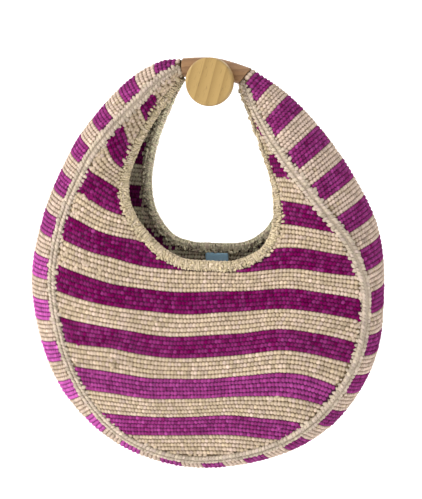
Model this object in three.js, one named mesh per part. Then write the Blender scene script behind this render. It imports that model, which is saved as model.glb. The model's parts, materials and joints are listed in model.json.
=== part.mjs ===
// Round crochet bag that hangs by its arched wooden handle bar on a round wooden wall peg.
// Millimetres, +Z up. The origin is the middle of the peg's flat wall end, +Y runs into the wall,
// and the bag's front faces -Y.
import * as THREE from "three";
import { mergeVertices } from "three/addons/utils/BufferGeometryUtils.js";

// Driving sizes
const clearance = 0.3;
const stitchGap = 0.7;
const bagMiddleY = -70;
const clothThickness = 3;
const seamCord = { reach: 4.5, rise: 2.8, groove: 0.8, back: 2 };
const rimCord = { width: 10, depth: 6 };
const cordTaper = { fullWidth: 46, least: 0.55 };
const peg = { stemRadius: 4.5, discRadius: 24.5, discThickness: 12, discFrontY: -94, edgeRound: 2.5 };
const bar = {
  radius: 9.7, tenonRadius: 5.2, tenonLength: 8, shoulderRound: 0.8, shoulderGap: 0.95,
  archPoints: [{ x: -16, rise: 0.4 }, { x: 0, rise: 0 }, { x: 17, rise: -3.9 }],
};
const label = { width: 26, height: 16, thickness: 1, x: -4, y: -30.3, z: -198, lean: 11 };

// How finely the long pieces are stepped
const steps = {
  along: 60, panelAcross: 6, gussetAcross: 6, barRound: 16, barAlong: 8, pegRound: 32, halvings: 16,
};

// Sections of the bag, from the left end of the handle bar, down round the bottom and up to the
// right end. seam is the front seam, facing the way that the side strip looks in the X-Z plane, in
// degrees. width is the side strip's, from seam to seam, crown how far it arches out and turn how
// far it is twisted to the front, in degrees. The rims are the middle lines of the two rim bands,
// with Y measured from the bag's middle plane, and belly is how far a panel swells.
const columns = ["seamX", "seamZ", "facing", "width", "crown", "turn",
  "frontRimX", "frontRimY", "frontRimZ", "backRimX", "backRimY", "backRimZ", "belly"];
const sections = [
  [-33, 14, 92, 17.6, 7.5, 0, -33, -4, 3, -32, 4, 3, 1],
  [-49, 5, 112, 34, 15.5, 0, -44, -6, -11, -42, 6, -11, 1],
  [-71, -17, 132, 56, 25, 0, -59, -9, -30, -52, 9, -29, 2],
  [-101, -48, 142, 70, 26, 2, -79, -16, -65, -67, 15, -61, 3],
  [-127, -83, 151, 80, 26, 4, -90, -27, -103, -78.5, 25, -102, 4],
  [-158, -154, 167, 86, 26, 9, -81, -35, -139, -77, 34, -143, 8],
  [-168, -228, 184, 88, 30, 11, -54, -38, -170, -58, 38, -173, 12],
  [-146, -320, 208, 88, 29, 12, -30, -40, -184, -33, 39, -183, 14],
  [-97, -380, 234, 88, 22, 11, -13, -40, -187, -13, 40, -184, 14],
  [-24, -403, 263, 88, 18, 10, 3, -40, -187, 5, 40, -184, 14],
  [60, -385.5, 291, 88, 20.5, 4, 18, -40, -187, 20, 40, -183, 14],
  [118, -346, 316, 88, 23, 0, 31, -40, -185.5, 34, 40, -179, 13],
  [157, -282, 340, 88, 21, -3, 46, -38, -180, 48, 38, -170, 11],
  [166, -213, 363, 88, 15, 0, 63, -33, -168, 61, 36, -155, 8],
  [150, -163, 384, 86, 16, 11, 72, -26, -145, 72, 34, -130, 5],
  [116, -121, 396, 80, 18, 24, 71, -17, -116, 78, 30, -98, 4],
  [79, -77, 404, 68, 19, 34, 61, -9, -83, 71, 22, -64, 4],
  [51.5, -37, 411, 45, 18, 40, 45, -5, -42, 51.5, 12, -33.5, 2],
  [31.5, 0.8, 411, 17, 8.5, 38, 28.5, -3.5, -6.5, 31, 5, -4, 1.2],
];

// Soft dents and swells of the two hanging panels: middle, reach and how far they stand out
const frontFolds = [
  { x: -55, z: -265, reachX: 38, reachZ: 110, out: -5 },
  { x: 78, z: -260, reachX: 42, reachZ: 120, out: 4 },
  { x: 5, z: -350, reachX: 70, reachZ: 30, out: 3 },
];
const backFolds = [
  { x: -20, z: -280, reachX: 60, reachZ: 90, out: -4 },
  { x: 90, z: -240, reachX: 40, reachZ: 80, out: 3 },
];

const colours = {
  magenta: 0x8e1c72, natural: 0xdac8aa, seam: 0xcbb792, barWood: 0xa8794f, pegWood: 0xcda66c,
  label: 0xb9c6cf,
};

const degrees = Math.PI / 180;
const towardFront = new THREE.Vector3(0, -1, 0);

const rows = sections.map(
  (values) => Object.fromEntries(columns.map((name, i) => [name, values[i]])));

// Distance along the front seam at each section
const knots = [0];
for (let i = 1; i < rows.length; i += 1) {
  const dx = rows[i].seamX - rows[i - 1].seamX;
  const dz = rows[i].seamZ - rows[i - 1].seamZ;
  knots.push(knots[i - 1] + Math.hypot(dx, dz));
}
const seamLength = knots[knots.length - 1];

function slopeAt(name, i) {
  const before = Math.max(i - 1, 0);
  const after = Math.min(i + 1, rows.length - 1);
  return (rows[after][name] - rows[before][name]) / (knots[after] - knots[before]);
}

// Smooth value of one column at a distance along the seam
function valueAt(name, distance) {
  let i = 0;
  while (i < rows.length - 2 && distance > knots[i + 1]) i += 1;
  const span = knots[i + 1] - knots[i];
  const t = (distance - knots[i]) / span;
  const rise = t * t * (3 - 2 * t);
  return rows[i][name] * (1 - rise) + rows[i + 1][name] * rise
    + slopeAt(name, i) * span * t * (1 - t) * (1 - t)
    - slopeAt(name, i + 1) * span * t * t * (1 - t);
}

// Everything that a cut across the bag needs, at a distance along the seam
function sectionAt(distance) {
  const value = Object.fromEntries(columns.map((name) => [name, valueAt(name, distance)]));
  const facing = value.facing * degrees;
  const turn = value.turn * degrees;
  const outward = new THREE.Vector3(Math.cos(facing), 0, Math.sin(facing));
  const across = outward.clone().multiplyScalar(Math.sin(turn))
    .addScaledVector(towardFront, -Math.cos(turn));
  const arch = outward.clone().multiplyScalar(Math.cos(turn))
    .addScaledVector(towardFront, Math.sin(turn));
  const half = value.width / 2;
  const frontSeam = new THREE.Vector3(
    value.seamX, bagMiddleY - half * Math.cos(turn), value.seamZ);
  const backSeam = frontSeam.clone().addScaledVector(across, value.width);
  const frontRim = new THREE.Vector3(
    value.frontRimX, bagMiddleY + value.frontRimY, value.frontRimZ);
  const backRim = new THREE.Vector3(value.backRimX, bagMiddleY + value.backRimY, value.backRimZ);
  const openAngle = 2 * Math.atan2(value.crown, half);
  const grown = (value.width - rows[0].width) / (cordTaper.fullWidth - rows[0].width);
  const scale = Math.min(1, cordTaper.least + (1 - cordTaper.least) * grown);
  return {
    belly: value.belly, outward, across, arch, half, frontSeam, backSeam, frontRim, backRim,
    openAngle, radius: half / Math.sin(openAngle), scale,
  };
}

const cuts = [];
for (let i = 0; i <= steps.along; i += 1) {
  cuts.push(sectionAt(seamLength * i / steps.along));
}

const seamOf = (cut, isFront) => (isFront ? cut.frontSeam : cut.backSeam).clone();
const rimOf = (cut, isFront) => (isFront ? cut.frontRim : cut.backRim).clone();
const towardSide = (isFront) => towardFront.clone().multiplyScalar(isFront ? 1 : -1);

// A direction made square to a rail of the bag at one cut
function squareTo(railOf, cut, isFront, direction) {
  const i = cuts.indexOf(cut);
  const before = railOf(cuts[Math.max(i - 1, 0)], isFront);
  const along = railOf(cuts[Math.min(i + 1, steps.along)], isFront).sub(before).normalize();
  return direction.clone().addScaledVector(along, -direction.dot(along)).normalize();
}

// Shortest way from a point to a rail
function gapToRail(point, railOf, isFront) {
  const nearest = new THREE.Vector3();
  let least = Infinity;
  for (let i = 0; i < steps.along; i += 1) {
    const stretch = new THREE.Line3(railOf(cuts[i], isFront), railOf(cuts[i + 1], isFront));
    stretch.closestPointToPoint(point, true, nearest);
    least = Math.min(least, nearest.distanceTo(point));
  }
  return least;
}

// Place on a line across the bag, found by halving, where the line has come clear of the band that
// follows a rail. The line meets the rail aslant at from, and to is well clear of it.
function clearOf(railOf, band, cut, isFront, from, to, pointAt) {
  let near = from;
  let far = to;
  for (let i = 0; i < steps.halvings; i += 1) {
    const middle = (near + far) / 2;
    const isClear = gapToRail(pointAt(middle), railOf, isFront) > band * cut.scale + stitchGap;
    if (isClear) far = middle;
    else near = middle;
  }
  return far;
}

// A point of the side strip: angle 0 is its ridge, and the two seams lie at either openAngle
function gussetPoint(cut, angle) {
  return cut.frontSeam.clone()
    .addScaledVector(cut.across, cut.half + cut.radius * Math.sin(angle))
    .addScaledVector(cut.arch, cut.radius * (Math.cos(angle) - Math.cos(cut.openAngle)));
}

// A point of a panel: share 0 is its rim and share 1 its seam
function panelPoint(cut, share, isFront) {
  const point = rimOf(cut, isFront).lerp(seamOf(cut, isFront), share);
  const cover = Math.sin(Math.PI * share);
  let out = cut.belly * cover;
  for (const fold of isFront ? frontFolds : backFolds) {
    const awayX = (point.x - fold.x) / fold.reachX;
    const awayZ = (point.z - fold.z) / fold.reachZ;
    out += fold.out * cover * Math.exp(-awayX * awayX - awayZ * awayZ);
  }
  return point.addScaledVector(towardFront, isFront ? out : -out);
}

// Turns the faces over where they enclose a negative volume
function facingOut(geometry) {
  const index = Array.from(geometry.index.array);
  const corner = (k) => new THREE.Vector3()
    .fromBufferAttribute(geometry.attributes.position, index[k]);
  let volume = 0;
  for (let k = 0; k < index.length; k += 3) {
    volume += corner(k).dot(corner(k + 1).cross(corner(k + 2)));
  }
  if (volume < 0) {
    for (let k = 0; k < index.length; k += 3) {
      [index[k + 1], index[k + 2]] = [index[k + 2], index[k + 1]];
    }
    geometry.setIndex(index);
  }
  return geometry;
}

// Closed skin over a row of loops. A loop folds back on itself, so its point k faces its point
// count - 1 - k, and the two end loops are closed by quads between such pairs.
function skin(loops) {
  const count = loops[0].length;
  const faces = [];
  const quad = (a, b, c, d) => faces.push(a, b, c, a, c, d);
  for (let i = 0; i < loops.length - 1; i += 1) {
    for (let k = 0; k < count; k += 1) {
      const next = (k + 1) % count;
      quad(i * count + k, i * count + next, (i + 1) * count + next, (i + 1) * count + k);
    }
  }
  const last = (loops.length - 1) * count;
  for (let k = 0; k < count / 2 - 1; k += 1) {
    quad(k, count - 1 - k, count - 2 - k, k + 1);
    quad(last + k, last + k + 1, last + count - 2 - k, last + count - 1 - k);
  }
  const positions = loops.flat().flatMap((point) => [point.x, point.y, point.z]);
  const geometry = new THREE.BufferGeometry();
  geometry.setAttribute("position", new THREE.Float32BufferAttribute(positions, 3));
  geometry.setIndex(faces);
  return facingOut(geometry);
}

// Cloth sheet: rows of middle points, thickened both ways along the surface's own normal
function sheet(lines) {
  const pick = (i, k) => {
    const line = lines[Math.min(Math.max(i, 0), lines.length - 1)];
    return line[Math.min(Math.max(k, 0), line.length - 1)];
  };
  return skin(lines.map((line, i) => {
    const offset = (point, k, distance) => {
      const along = pick(i + 1, k).clone().sub(pick(i - 1, k));
      const across = pick(i, k + 1).clone().sub(pick(i, k - 1));
      return point.clone().addScaledVector(along.cross(across).normalize(), distance);
    };
    const outer = line.map((point, k) => offset(point, k, clothThickness / 2));
    const inner = line.map((point, k) => offset(point, k, -clothThickness / 2));
    return [...outer, ...inner.reverse()];
  }));
}

// Points from one share of a line to another, in equal steps
function spread(count, from, to, pointAt) {
  const points = [];
  for (let k = 0; k <= count; k += 1) {
    points.push(pointAt(from + (to - from) * k / count));
  }
  return points;
}

function panelSolid(isFront) {
  return sheet(cuts.map((cut) => {
    const pointAt = (share) => panelPoint(cut, share, isFront);
    const first = clearOf(rimOf, rimCord.width / 2, cut, isFront, 0, 0.5, pointAt);
    const last = clearOf(seamOf, seamCord.reach, cut, isFront, 1, 0.5, pointAt);
    return spread(steps.panelAcross, first, last, pointAt);
  }));
}

function gussetSolid() {
  return sheet(cuts.map((cut) => {
    const pointAt = (angle) => gussetPoint(cut, angle);
    const first = clearOf(seamOf, seamCord.reach, cut, true, -cut.openAngle, 0, pointAt);
    const last = clearOf(seamOf, seamCord.reach, cut, false, cut.openAngle, 0, pointAt);
    return spread(steps.gussetAcross, first, last, pointAt);
  }));
}

// Crocheted seam: two ridges with a groove between them, one on the panel and one on the strip
function seamSolid(isFront) {
  return skin(cuts.map((cut) => {
    const seam = seamOf(cut, isFront);
    const reach = seamCord.reach * cut.scale;
    const length = rimOf(cut, isFront).distanceTo(seam);
    const edgeAngle = (cut.openAngle - reach / cut.radius) * (isFront ? -1 : 1);
    const onto = (point) => squareTo(seamOf, cut, isFront, point.sub(seam));
    const ontoPanel = onto(panelPoint(cut, 1 - reach / length, isFront));
    const ontoStrip = onto(gussetPoint(cut, edgeAngle));
    const out = squareTo(seamOf, cut, isFront, towardSide(isFront).add(cut.arch));
    const square = (way) => out.clone().addScaledVector(way, -out.dot(way)).normalize();
    const place = (way, along, rise) => seam.clone().addScaledVector(way, reach * along)
      .addScaledVector(square(way), rise * cut.scale);
    const middle = (rise) => seam.clone().addScaledVector(out, rise * cut.scale);
    const ridge = (way) => [
      place(way, 1, -clothThickness / 2), place(way, 1, clothThickness / 2),
      place(way, 0.55, seamCord.rise),
    ];
    return [
      ...ridge(ontoPanel), middle(seamCord.groove), ...ridge(ontoStrip).reverse(),
      middle(-seamCord.back),
    ];
  }));
}

// Corners of the rim band's cut, as shares of its half width and half depth
const rimCut = [
  [-1, -0.4], [-1, 0.4], [-0.5, 1], [0.5, 1], [1, 0.5], [1, -0.5], [0.5, -1], [-0.5, -1],
];

function rimSolid(isFront) {
  return skin(cuts.map((cut) => {
    const rim = rimOf(cut, isFront);
    const length = rim.distanceTo(seamOf(cut, isFront));
    const halfWidth = rimCord.width / 2 * cut.scale;
    const ontoPanel = squareTo(rimOf, cut, isFront,
      panelPoint(cut, halfWidth / length, isFront).sub(rim));
    const face = squareTo(rimOf, cut, isFront, towardSide(isFront));
    face.addScaledVector(ontoPanel, -face.dot(ontoPanel)).normalize();
    return rimCut.map(([across, deep]) => rim.clone()
      .addScaledVector(ontoPanel, across * halfWidth)
      .addScaledVector(face, deep * rimCord.depth / 2 * cut.scale));
  }));
}

// Arched bar. Its middle line runs from one tip of the crochet tube to the other over the peg, and a
// thinner tenon at each end goes into the tube.
function barSolid() {
  const tip = (cut, sign) => ({
    centre: cut.frontSeam.clone().addScaledVector(cut.across, cut.half),
    way: new THREE.Vector3(sign * cut.outward.z, 0, -sign * cut.outward.x),
  });
  const left = tip(cuts[0], -1);
  const right = tip(cuts[cuts.length - 1], 1);
  const restZ = peg.stemRadius + clearance + bar.radius;
  const arch = new THREE.CatmullRomCurve3([
    left.centre,
    ...bar.archPoints.map((point) => new THREE.Vector3(point.x, bagMiddleY, restZ + point.rise)),
    right.centre,
  ], false, "centripetal");
  const ring = (centre, way, radius) => {
    const up = new THREE.Vector3(-way.z, 0, way.x);
    const points = [];
    for (let k = 0; k < steps.barRound; k += 1) {
      const angle = 2 * Math.PI * (k + 0.5) / steps.barRound;
      points.push(centre.clone().addScaledVector(towardFront, radius * Math.cos(angle))
        .addScaledVector(up, radius * Math.sin(angle)));
    }
    return points;
  };
  // Rings from a tenon's end inward. reach is each ring's distance from the tube's tip.
  const endRings = ({ centre, way }, alongBar) => [
    { reach: bar.tenonLength, radius: bar.tenonRadius },
    { reach: -bar.shoulderGap, radius: bar.tenonRadius },
    { reach: -bar.shoulderGap, radius: bar.radius - bar.shoulderRound },
    { reach: -bar.shoulderGap - bar.shoulderRound, radius: bar.radius },
  ].map((step) => ring(centre.clone().addScaledVector(way, step.reach), alongBar, step.radius));
  const loops = endRings(left, left.way.clone().negate());
  for (let i = 1; i < steps.barAlong; i += 1) {
    const share = i / steps.barAlong;
    loops.push(ring(arch.getPoint(share), arch.getTangent(share), bar.radius));
  }
  loops.push(...endRings(right, right.way).reverse());
  return skin(loops);
}

// Solid without its flat-shading seams, so that its faces share their corners
function welded(geometry) {
  geometry.deleteAttribute("uv");
  geometry.deleteAttribute("normal");
  return mergeVertices(geometry);
}

// Turned solid about the Y axis, from pairs of radius and place along Y
function turnedSolid(profile) {
  return welded(new THREE.LatheGeometry(
    profile.map(([radius, y]) => new THREE.Vector2(radius, y)), steps.pegRound));
}

const discBackY = peg.discFrontY + peg.discThickness;

function pegDiscSolid() {
  const roundEdge = (faceY, way) => [0, 30, 60, 90].map((angle) => [
    peg.discRadius - peg.edgeRound * (1 - Math.sin(angle * degrees)),
    faceY + way * peg.edgeRound * (1 - Math.cos(angle * degrees)),
  ]);
  return turnedSolid([
    [0, peg.discFrontY], ...roundEdge(peg.discFrontY, 1), ...roundEdge(discBackY, -1).reverse(),
    [0, discBackY],
  ]);
}

function pegStemSolid() {
  const frontY = discBackY + clearance;
  return turnedSolid([[0, frontY], [peg.stemRadius, frontY], [peg.stemRadius, 0], [0, 0]]);
}

function piece(name, geometry, color, roughness) {
  const material = new THREE.MeshStandardMaterial({ color, roughness, metalness: 0 });
  const mesh = new THREE.Mesh(geometry, material);
  mesh.name = name;
  return mesh;
}

const bag = new THREE.Group();
bag.add(piece("front_panel", panelSolid(true), colours.magenta, 0.95));
bag.add(piece("back_panel", panelSolid(false), colours.magenta, 0.95));
bag.add(piece("gusset", gussetSolid(), colours.natural, 0.95));
bag.add(piece("front_seam", seamSolid(true), colours.seam, 0.95));
bag.add(piece("back_seam", seamSolid(false), colours.seam, 0.95));
bag.add(piece("front_rim", rimSolid(true), colours.natural, 0.95));
bag.add(piece("back_rim", rimSolid(false), colours.natural, 0.95));
bag.add(piece("handle_bar", barSolid(), colours.barWood, 0.5));
bag.add(piece("peg_disc", pegDiscSolid(), colours.pegWood, 0.6));
bag.add(piece("peg_stem", pegStemSolid(), colours.pegWood, 0.6));

// Cloth label, sewn flat on the back panel's inner face just under the back rim
const labelPiece = piece("label",
  welded(new THREE.BoxGeometry(label.width, label.thickness, label.height)), colours.label, 0.9);
labelPiece.position.set(label.x, label.y, label.z);
labelPiece.rotation.x = label.lean * degrees;
bag.add(labelPiece);

export default bag;
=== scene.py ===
import json
import math

import bpy
import numpy as np
from mathutils import Vector
from mathutils.bvhtree import BVHTree
from mathutils.kdtree import KDTree
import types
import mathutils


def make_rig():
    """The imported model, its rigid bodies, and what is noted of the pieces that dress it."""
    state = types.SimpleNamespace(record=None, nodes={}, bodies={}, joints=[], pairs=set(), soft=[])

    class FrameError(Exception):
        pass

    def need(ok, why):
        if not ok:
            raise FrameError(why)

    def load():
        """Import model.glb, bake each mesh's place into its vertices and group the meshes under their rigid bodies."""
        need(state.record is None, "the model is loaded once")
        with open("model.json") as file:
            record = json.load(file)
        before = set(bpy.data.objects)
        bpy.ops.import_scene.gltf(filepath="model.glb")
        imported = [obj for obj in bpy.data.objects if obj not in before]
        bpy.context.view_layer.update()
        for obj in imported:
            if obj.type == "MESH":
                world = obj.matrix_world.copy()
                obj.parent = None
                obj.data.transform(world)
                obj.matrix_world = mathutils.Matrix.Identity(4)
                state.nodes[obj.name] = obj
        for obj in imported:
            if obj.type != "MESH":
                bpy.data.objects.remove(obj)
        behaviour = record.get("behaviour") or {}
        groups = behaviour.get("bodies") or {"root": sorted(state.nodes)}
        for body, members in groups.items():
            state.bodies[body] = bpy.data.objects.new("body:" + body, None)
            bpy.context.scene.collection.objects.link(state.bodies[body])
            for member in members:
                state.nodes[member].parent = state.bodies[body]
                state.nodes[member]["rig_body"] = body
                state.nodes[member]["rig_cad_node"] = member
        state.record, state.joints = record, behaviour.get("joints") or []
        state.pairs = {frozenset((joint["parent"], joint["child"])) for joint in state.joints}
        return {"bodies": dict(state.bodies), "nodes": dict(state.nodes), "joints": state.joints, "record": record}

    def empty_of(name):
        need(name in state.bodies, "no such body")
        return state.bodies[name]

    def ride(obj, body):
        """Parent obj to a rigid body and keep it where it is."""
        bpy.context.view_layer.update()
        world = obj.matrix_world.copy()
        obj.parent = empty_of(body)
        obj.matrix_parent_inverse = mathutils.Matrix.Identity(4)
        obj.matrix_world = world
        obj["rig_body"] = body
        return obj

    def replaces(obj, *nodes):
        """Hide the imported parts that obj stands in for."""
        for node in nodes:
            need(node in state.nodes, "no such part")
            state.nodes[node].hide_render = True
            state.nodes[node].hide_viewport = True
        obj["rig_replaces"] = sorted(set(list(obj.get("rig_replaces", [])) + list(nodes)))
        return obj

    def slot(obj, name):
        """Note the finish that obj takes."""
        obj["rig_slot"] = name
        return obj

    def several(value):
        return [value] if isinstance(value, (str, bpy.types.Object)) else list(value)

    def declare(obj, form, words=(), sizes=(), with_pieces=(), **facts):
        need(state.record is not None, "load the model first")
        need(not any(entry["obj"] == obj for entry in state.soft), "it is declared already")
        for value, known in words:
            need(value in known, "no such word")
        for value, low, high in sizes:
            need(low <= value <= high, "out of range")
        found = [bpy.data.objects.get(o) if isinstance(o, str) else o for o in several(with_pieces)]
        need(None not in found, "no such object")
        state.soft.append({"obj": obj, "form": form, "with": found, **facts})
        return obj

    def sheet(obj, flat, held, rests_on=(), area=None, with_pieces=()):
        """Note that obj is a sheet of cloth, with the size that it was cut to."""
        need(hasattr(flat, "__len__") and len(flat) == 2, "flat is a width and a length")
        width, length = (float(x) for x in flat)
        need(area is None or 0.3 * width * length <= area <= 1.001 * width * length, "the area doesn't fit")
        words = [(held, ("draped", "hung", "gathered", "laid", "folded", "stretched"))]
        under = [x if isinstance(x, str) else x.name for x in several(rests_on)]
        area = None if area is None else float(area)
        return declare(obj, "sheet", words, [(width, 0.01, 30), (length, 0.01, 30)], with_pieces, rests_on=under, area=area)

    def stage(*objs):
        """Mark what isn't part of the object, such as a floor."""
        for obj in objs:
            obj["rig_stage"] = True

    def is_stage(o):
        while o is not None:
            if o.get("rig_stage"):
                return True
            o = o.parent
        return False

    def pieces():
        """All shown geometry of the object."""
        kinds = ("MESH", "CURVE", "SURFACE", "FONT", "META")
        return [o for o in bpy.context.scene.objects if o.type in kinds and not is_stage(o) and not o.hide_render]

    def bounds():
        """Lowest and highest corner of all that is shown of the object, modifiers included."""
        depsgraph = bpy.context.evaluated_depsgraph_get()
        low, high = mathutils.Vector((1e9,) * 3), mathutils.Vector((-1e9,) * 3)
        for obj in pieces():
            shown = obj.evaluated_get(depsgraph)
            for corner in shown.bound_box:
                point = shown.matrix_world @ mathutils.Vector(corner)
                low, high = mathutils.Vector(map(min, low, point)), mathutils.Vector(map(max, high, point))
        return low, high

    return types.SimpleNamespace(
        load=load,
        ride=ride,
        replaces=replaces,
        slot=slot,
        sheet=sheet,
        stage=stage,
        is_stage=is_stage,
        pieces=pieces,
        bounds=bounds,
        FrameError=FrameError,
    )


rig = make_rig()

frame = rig.load()
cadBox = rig.bounds()
mm = 0.001  # the tables below are in millimetres, the meshes in metres
dice = np.random.default_rng(7)

# The camera stands where the photo was taken. It comes first, because the stripes are marked in it.
cameraPlace = {
    "azimuth": 12, "elevation": 12, "distance": 950, "lookAt": (-2.5, -70, -178.3),
    "photoWidth": 422, "photoHeight": 499, "millimetresPerPixel": 1.08, "sensor": 36,
}


def cameraAxes():
    turn, tilt = math.radians(cameraPlace["azimuth"]), math.radians(cameraPlace["elevation"])
    back = np.array([math.sin(turn) * math.cos(tilt), -math.cos(turn) * math.cos(tilt), math.sin(tilt)])
    right = np.array([math.cos(turn), math.sin(turn), 0.0])
    return right, np.cross(back, right), back


cameraRight, cameraUp, cameraBack = cameraAxes()
cameraPoint = np.array(cameraPlace["lookAt"]) + cameraBack * cameraPlace["distance"]
focalPixels = cameraPlace["distance"] / cameraPlace["millimetresPerPixel"]


def makeCamera():
    data = bpy.data.cameras.new("photoCamera")
    data.sensor_width = cameraPlace["sensor"]
    data.lens = focalPixels * cameraPlace["sensor"] / cameraPlace["photoHeight"]
    data.clip_start, data.clip_end = 0.01, 50
    camera = bpy.data.objects.new("photoCamera", data)
    camera.location = Vector(cameraPoint * mm)
    camera.rotation_mode = "QUATERNION"
    camera.rotation_quaternion = Vector(-cameraBack).to_track_quat("-Z", "Y")
    bpy.context.scene.collection.objects.link(camera)
    bpy.context.scene.camera = camera


makeCamera()
print("camera is at", np.round(cameraPoint * mm, 3))

# The bag's own shape, section by section along the front seam, as in the solids: the seam's place,
# the way the side strip faces, its width, crown and twist, the two rims and the panels' swell.
bag = {
    "middleY": -70,
    "columns": ["seamX", "seamZ", "facing", "width", "crown", "turn", "frontRimX", "frontRimY",
                "frontRimZ", "backRimX", "backRimY", "backRimZ", "belly"],
    "sections": [
        [-33, 14, 92, 17.6, 7.5, 0, -33, -4, 3, -32, 4, 3, 1],
        [-49, 5, 112, 34, 15.5, 0, -44, -6, -11, -42, 6, -11, 1],
        [-71, -17, 132, 56, 25, 0, -59, -9, -30, -52, 9, -29, 2],
        [-101, -48, 142, 70, 26, 2, -79, -16, -65, -67, 15, -61, 3],
        [-127, -83, 151, 80, 26, 4, -90, -27, -103, -78.5, 25, -102, 4],
        [-158, -154, 167, 86, 26, 9, -81, -35, -139, -77, 34, -143, 8],
        [-168, -228, 184, 88, 30, 11, -54, -38, -170, -58, 38, -173, 12],
        [-146, -320, 208, 88, 29, 12, -30, -40, -184, -33, 39, -183, 14],
        [-97, -380, 234, 88, 22, 11, -13, -40, -187, -13, 40, -184, 14],
        [-24, -403, 263, 88, 18, 10, 3, -40, -187, 5, 40, -184, 14],
        [60, -385.5, 291, 88, 20.5, 4, 18, -40, -187, 20, 40, -183, 14],
        [118, -346, 316, 88, 23, 0, 31, -40, -185.5, 34, 40, -179, 13],
        [157, -282, 340, 88, 21, -3, 46, -38, -180, 48, 38, -170, 11],
        [166, -213, 363, 88, 15, 0, 63, -33, -168, 61, 36, -155, 8],
        [150, -163, 384, 86, 16, 11, 72, -26, -145, 72, 34, -130, 5],
        [116, -121, 396, 80, 18, 24, 71, -17, -116, 78, 30, -98, 4],
        [79, -77, 404, 68, 19, 34, 61, -9, -83, 71, 22, -64, 4],
        [51.5, -37, 411, 45, 18, 40, 45, -5, -42, 51.5, 12, -33.5, 2],
        [31.5, 0.8, 411, 17, 8.5, 38, 28.5, -3.5, -6.5, 31, 5, -4, 1.2],
    ],
    # soft dents and swells of a panel: middle, reach and how far they stand out
    "frontFolds": [(-55, -265, 38, 110, -5), (78, -260, 42, 120, 4), (5, -350, 70, 30, 3)],
    "backFolds": [(-20, -280, 60, 90, -4), (90, -240, 40, 80, 3)],
    "seamReach": 4.5, "rimWidth": 10, "rimDepth": 6,
    "taperWidth": 46, "taperLeast": 0.55,
}
sectionTable = np.array(bag["sections"], float)
knots = np.concatenate([[0], np.cumsum(np.hypot(*np.diff(sectionTable[:, :2], axis=0).T))])
seamLength = knots[-1]
before = np.maximum(np.arange(len(knots)) - 1, 0)
after = np.minimum(np.arange(len(knots)) + 1, len(knots) - 1)
slopes = (sectionTable[after] - sectionTable[before]) / (knots[after] - knots[before])[:, None]
toFront = np.array([0.0, -1.0, 0.0])


def runLengths(points):
    return np.concatenate([[0], np.cumsum(np.linalg.norm(np.diff(points, axis=0), axis=1))])


def unit(vectors):
    return vectors / np.maximum(np.linalg.norm(vectors, axis=-1, keepdims=True), 1e-9)


def dot(a, b):
    return (a * b).sum(-1, keepdims=True)


class Cut:
    # everything that a cut across the bag needs, at any array of distances along the seam
    def __init__(self, distance):
        distance = np.asarray(distance, float)
        i = np.clip(np.searchsorted(knots, distance) - 1, 0, len(knots) - 2)
        span = (knots[i + 1] - knots[i])[..., None]
        t = (distance - knots[i])[..., None] / span
        ease = t * t * (3 - 2 * t)
        values = (sectionTable[i] * (1 - ease) + sectionTable[i + 1] * ease
                  + slopes[i] * span * t * (1 - t) ** 2 - slopes[i + 1] * span * t * t * (1 - t))
        v = {name: values[..., k] for k, name in enumerate(bag["columns"])}
        facing, turn = np.radians(v["facing"]), np.radians(v["turn"])[..., None]
        self.outward = np.stack([np.cos(facing), 0 * facing, np.sin(facing)], -1)
        self.across = self.outward * np.sin(turn) - toFront * np.cos(turn)
        self.arch = self.outward * np.cos(turn) + toFront * np.sin(turn)
        self.width, self.half, self.belly = v["width"], v["width"] / 2, v["belly"]
        frontY = bag["middleY"] - self.half * np.cos(turn[..., 0])
        self.frontSeam = np.stack([v["seamX"], frontY, v["seamZ"]], -1)
        self.backSeam = self.frontSeam + self.across * self.width[..., None]
        self.frontRim = np.stack([v["frontRimX"], bag["middleY"] + v["frontRimY"], v["frontRimZ"]], -1)
        self.backRim = np.stack([v["backRimX"], bag["middleY"] + v["backRimY"], v["backRimZ"]], -1)
        self.openAngle = 2 * np.arctan2(v["crown"], self.half)
        self.radius = self.half / np.sin(self.openAngle)
        first = sectionTable[0, 3]
        grown = (self.width - first) / (bag["taperWidth"] - first)
        self.scale = np.minimum(1, bag["taperLeast"] + (1 - bag["taperLeast"]) * grown)

    def seam(self, isFront):
        return self.frontSeam if isFront else self.backSeam

    def rim(self, isFront):
        return self.frontRim if isFront else self.backRim


def stripPoint(cut, angle):
    return (cut.frontSeam + cut.across * (cut.half + cut.radius * np.sin(angle))[..., None]
            + cut.arch * (cut.radius * (np.cos(angle) - np.cos(cut.openAngle)))[..., None])


def panelPoint(cut, share, isFront):
    rim = cut.rim(isFront)
    point = rim + (cut.seam(isFront) - rim) * share[..., None]
    cover = np.sin(np.pi * share)
    out = cut.belly * cover
    for x, z, reachX, reachZ, rise in bag["frontFolds" if isFront else "backFolds"]:
        away = ((point[..., 0] - x) / reachX) ** 2 + ((point[..., 2] - z) / reachZ) ** 2
        out = out + rise * cover * np.exp(-away)
    return point + toFront * (out if isFront else -out)[..., None]


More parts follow.
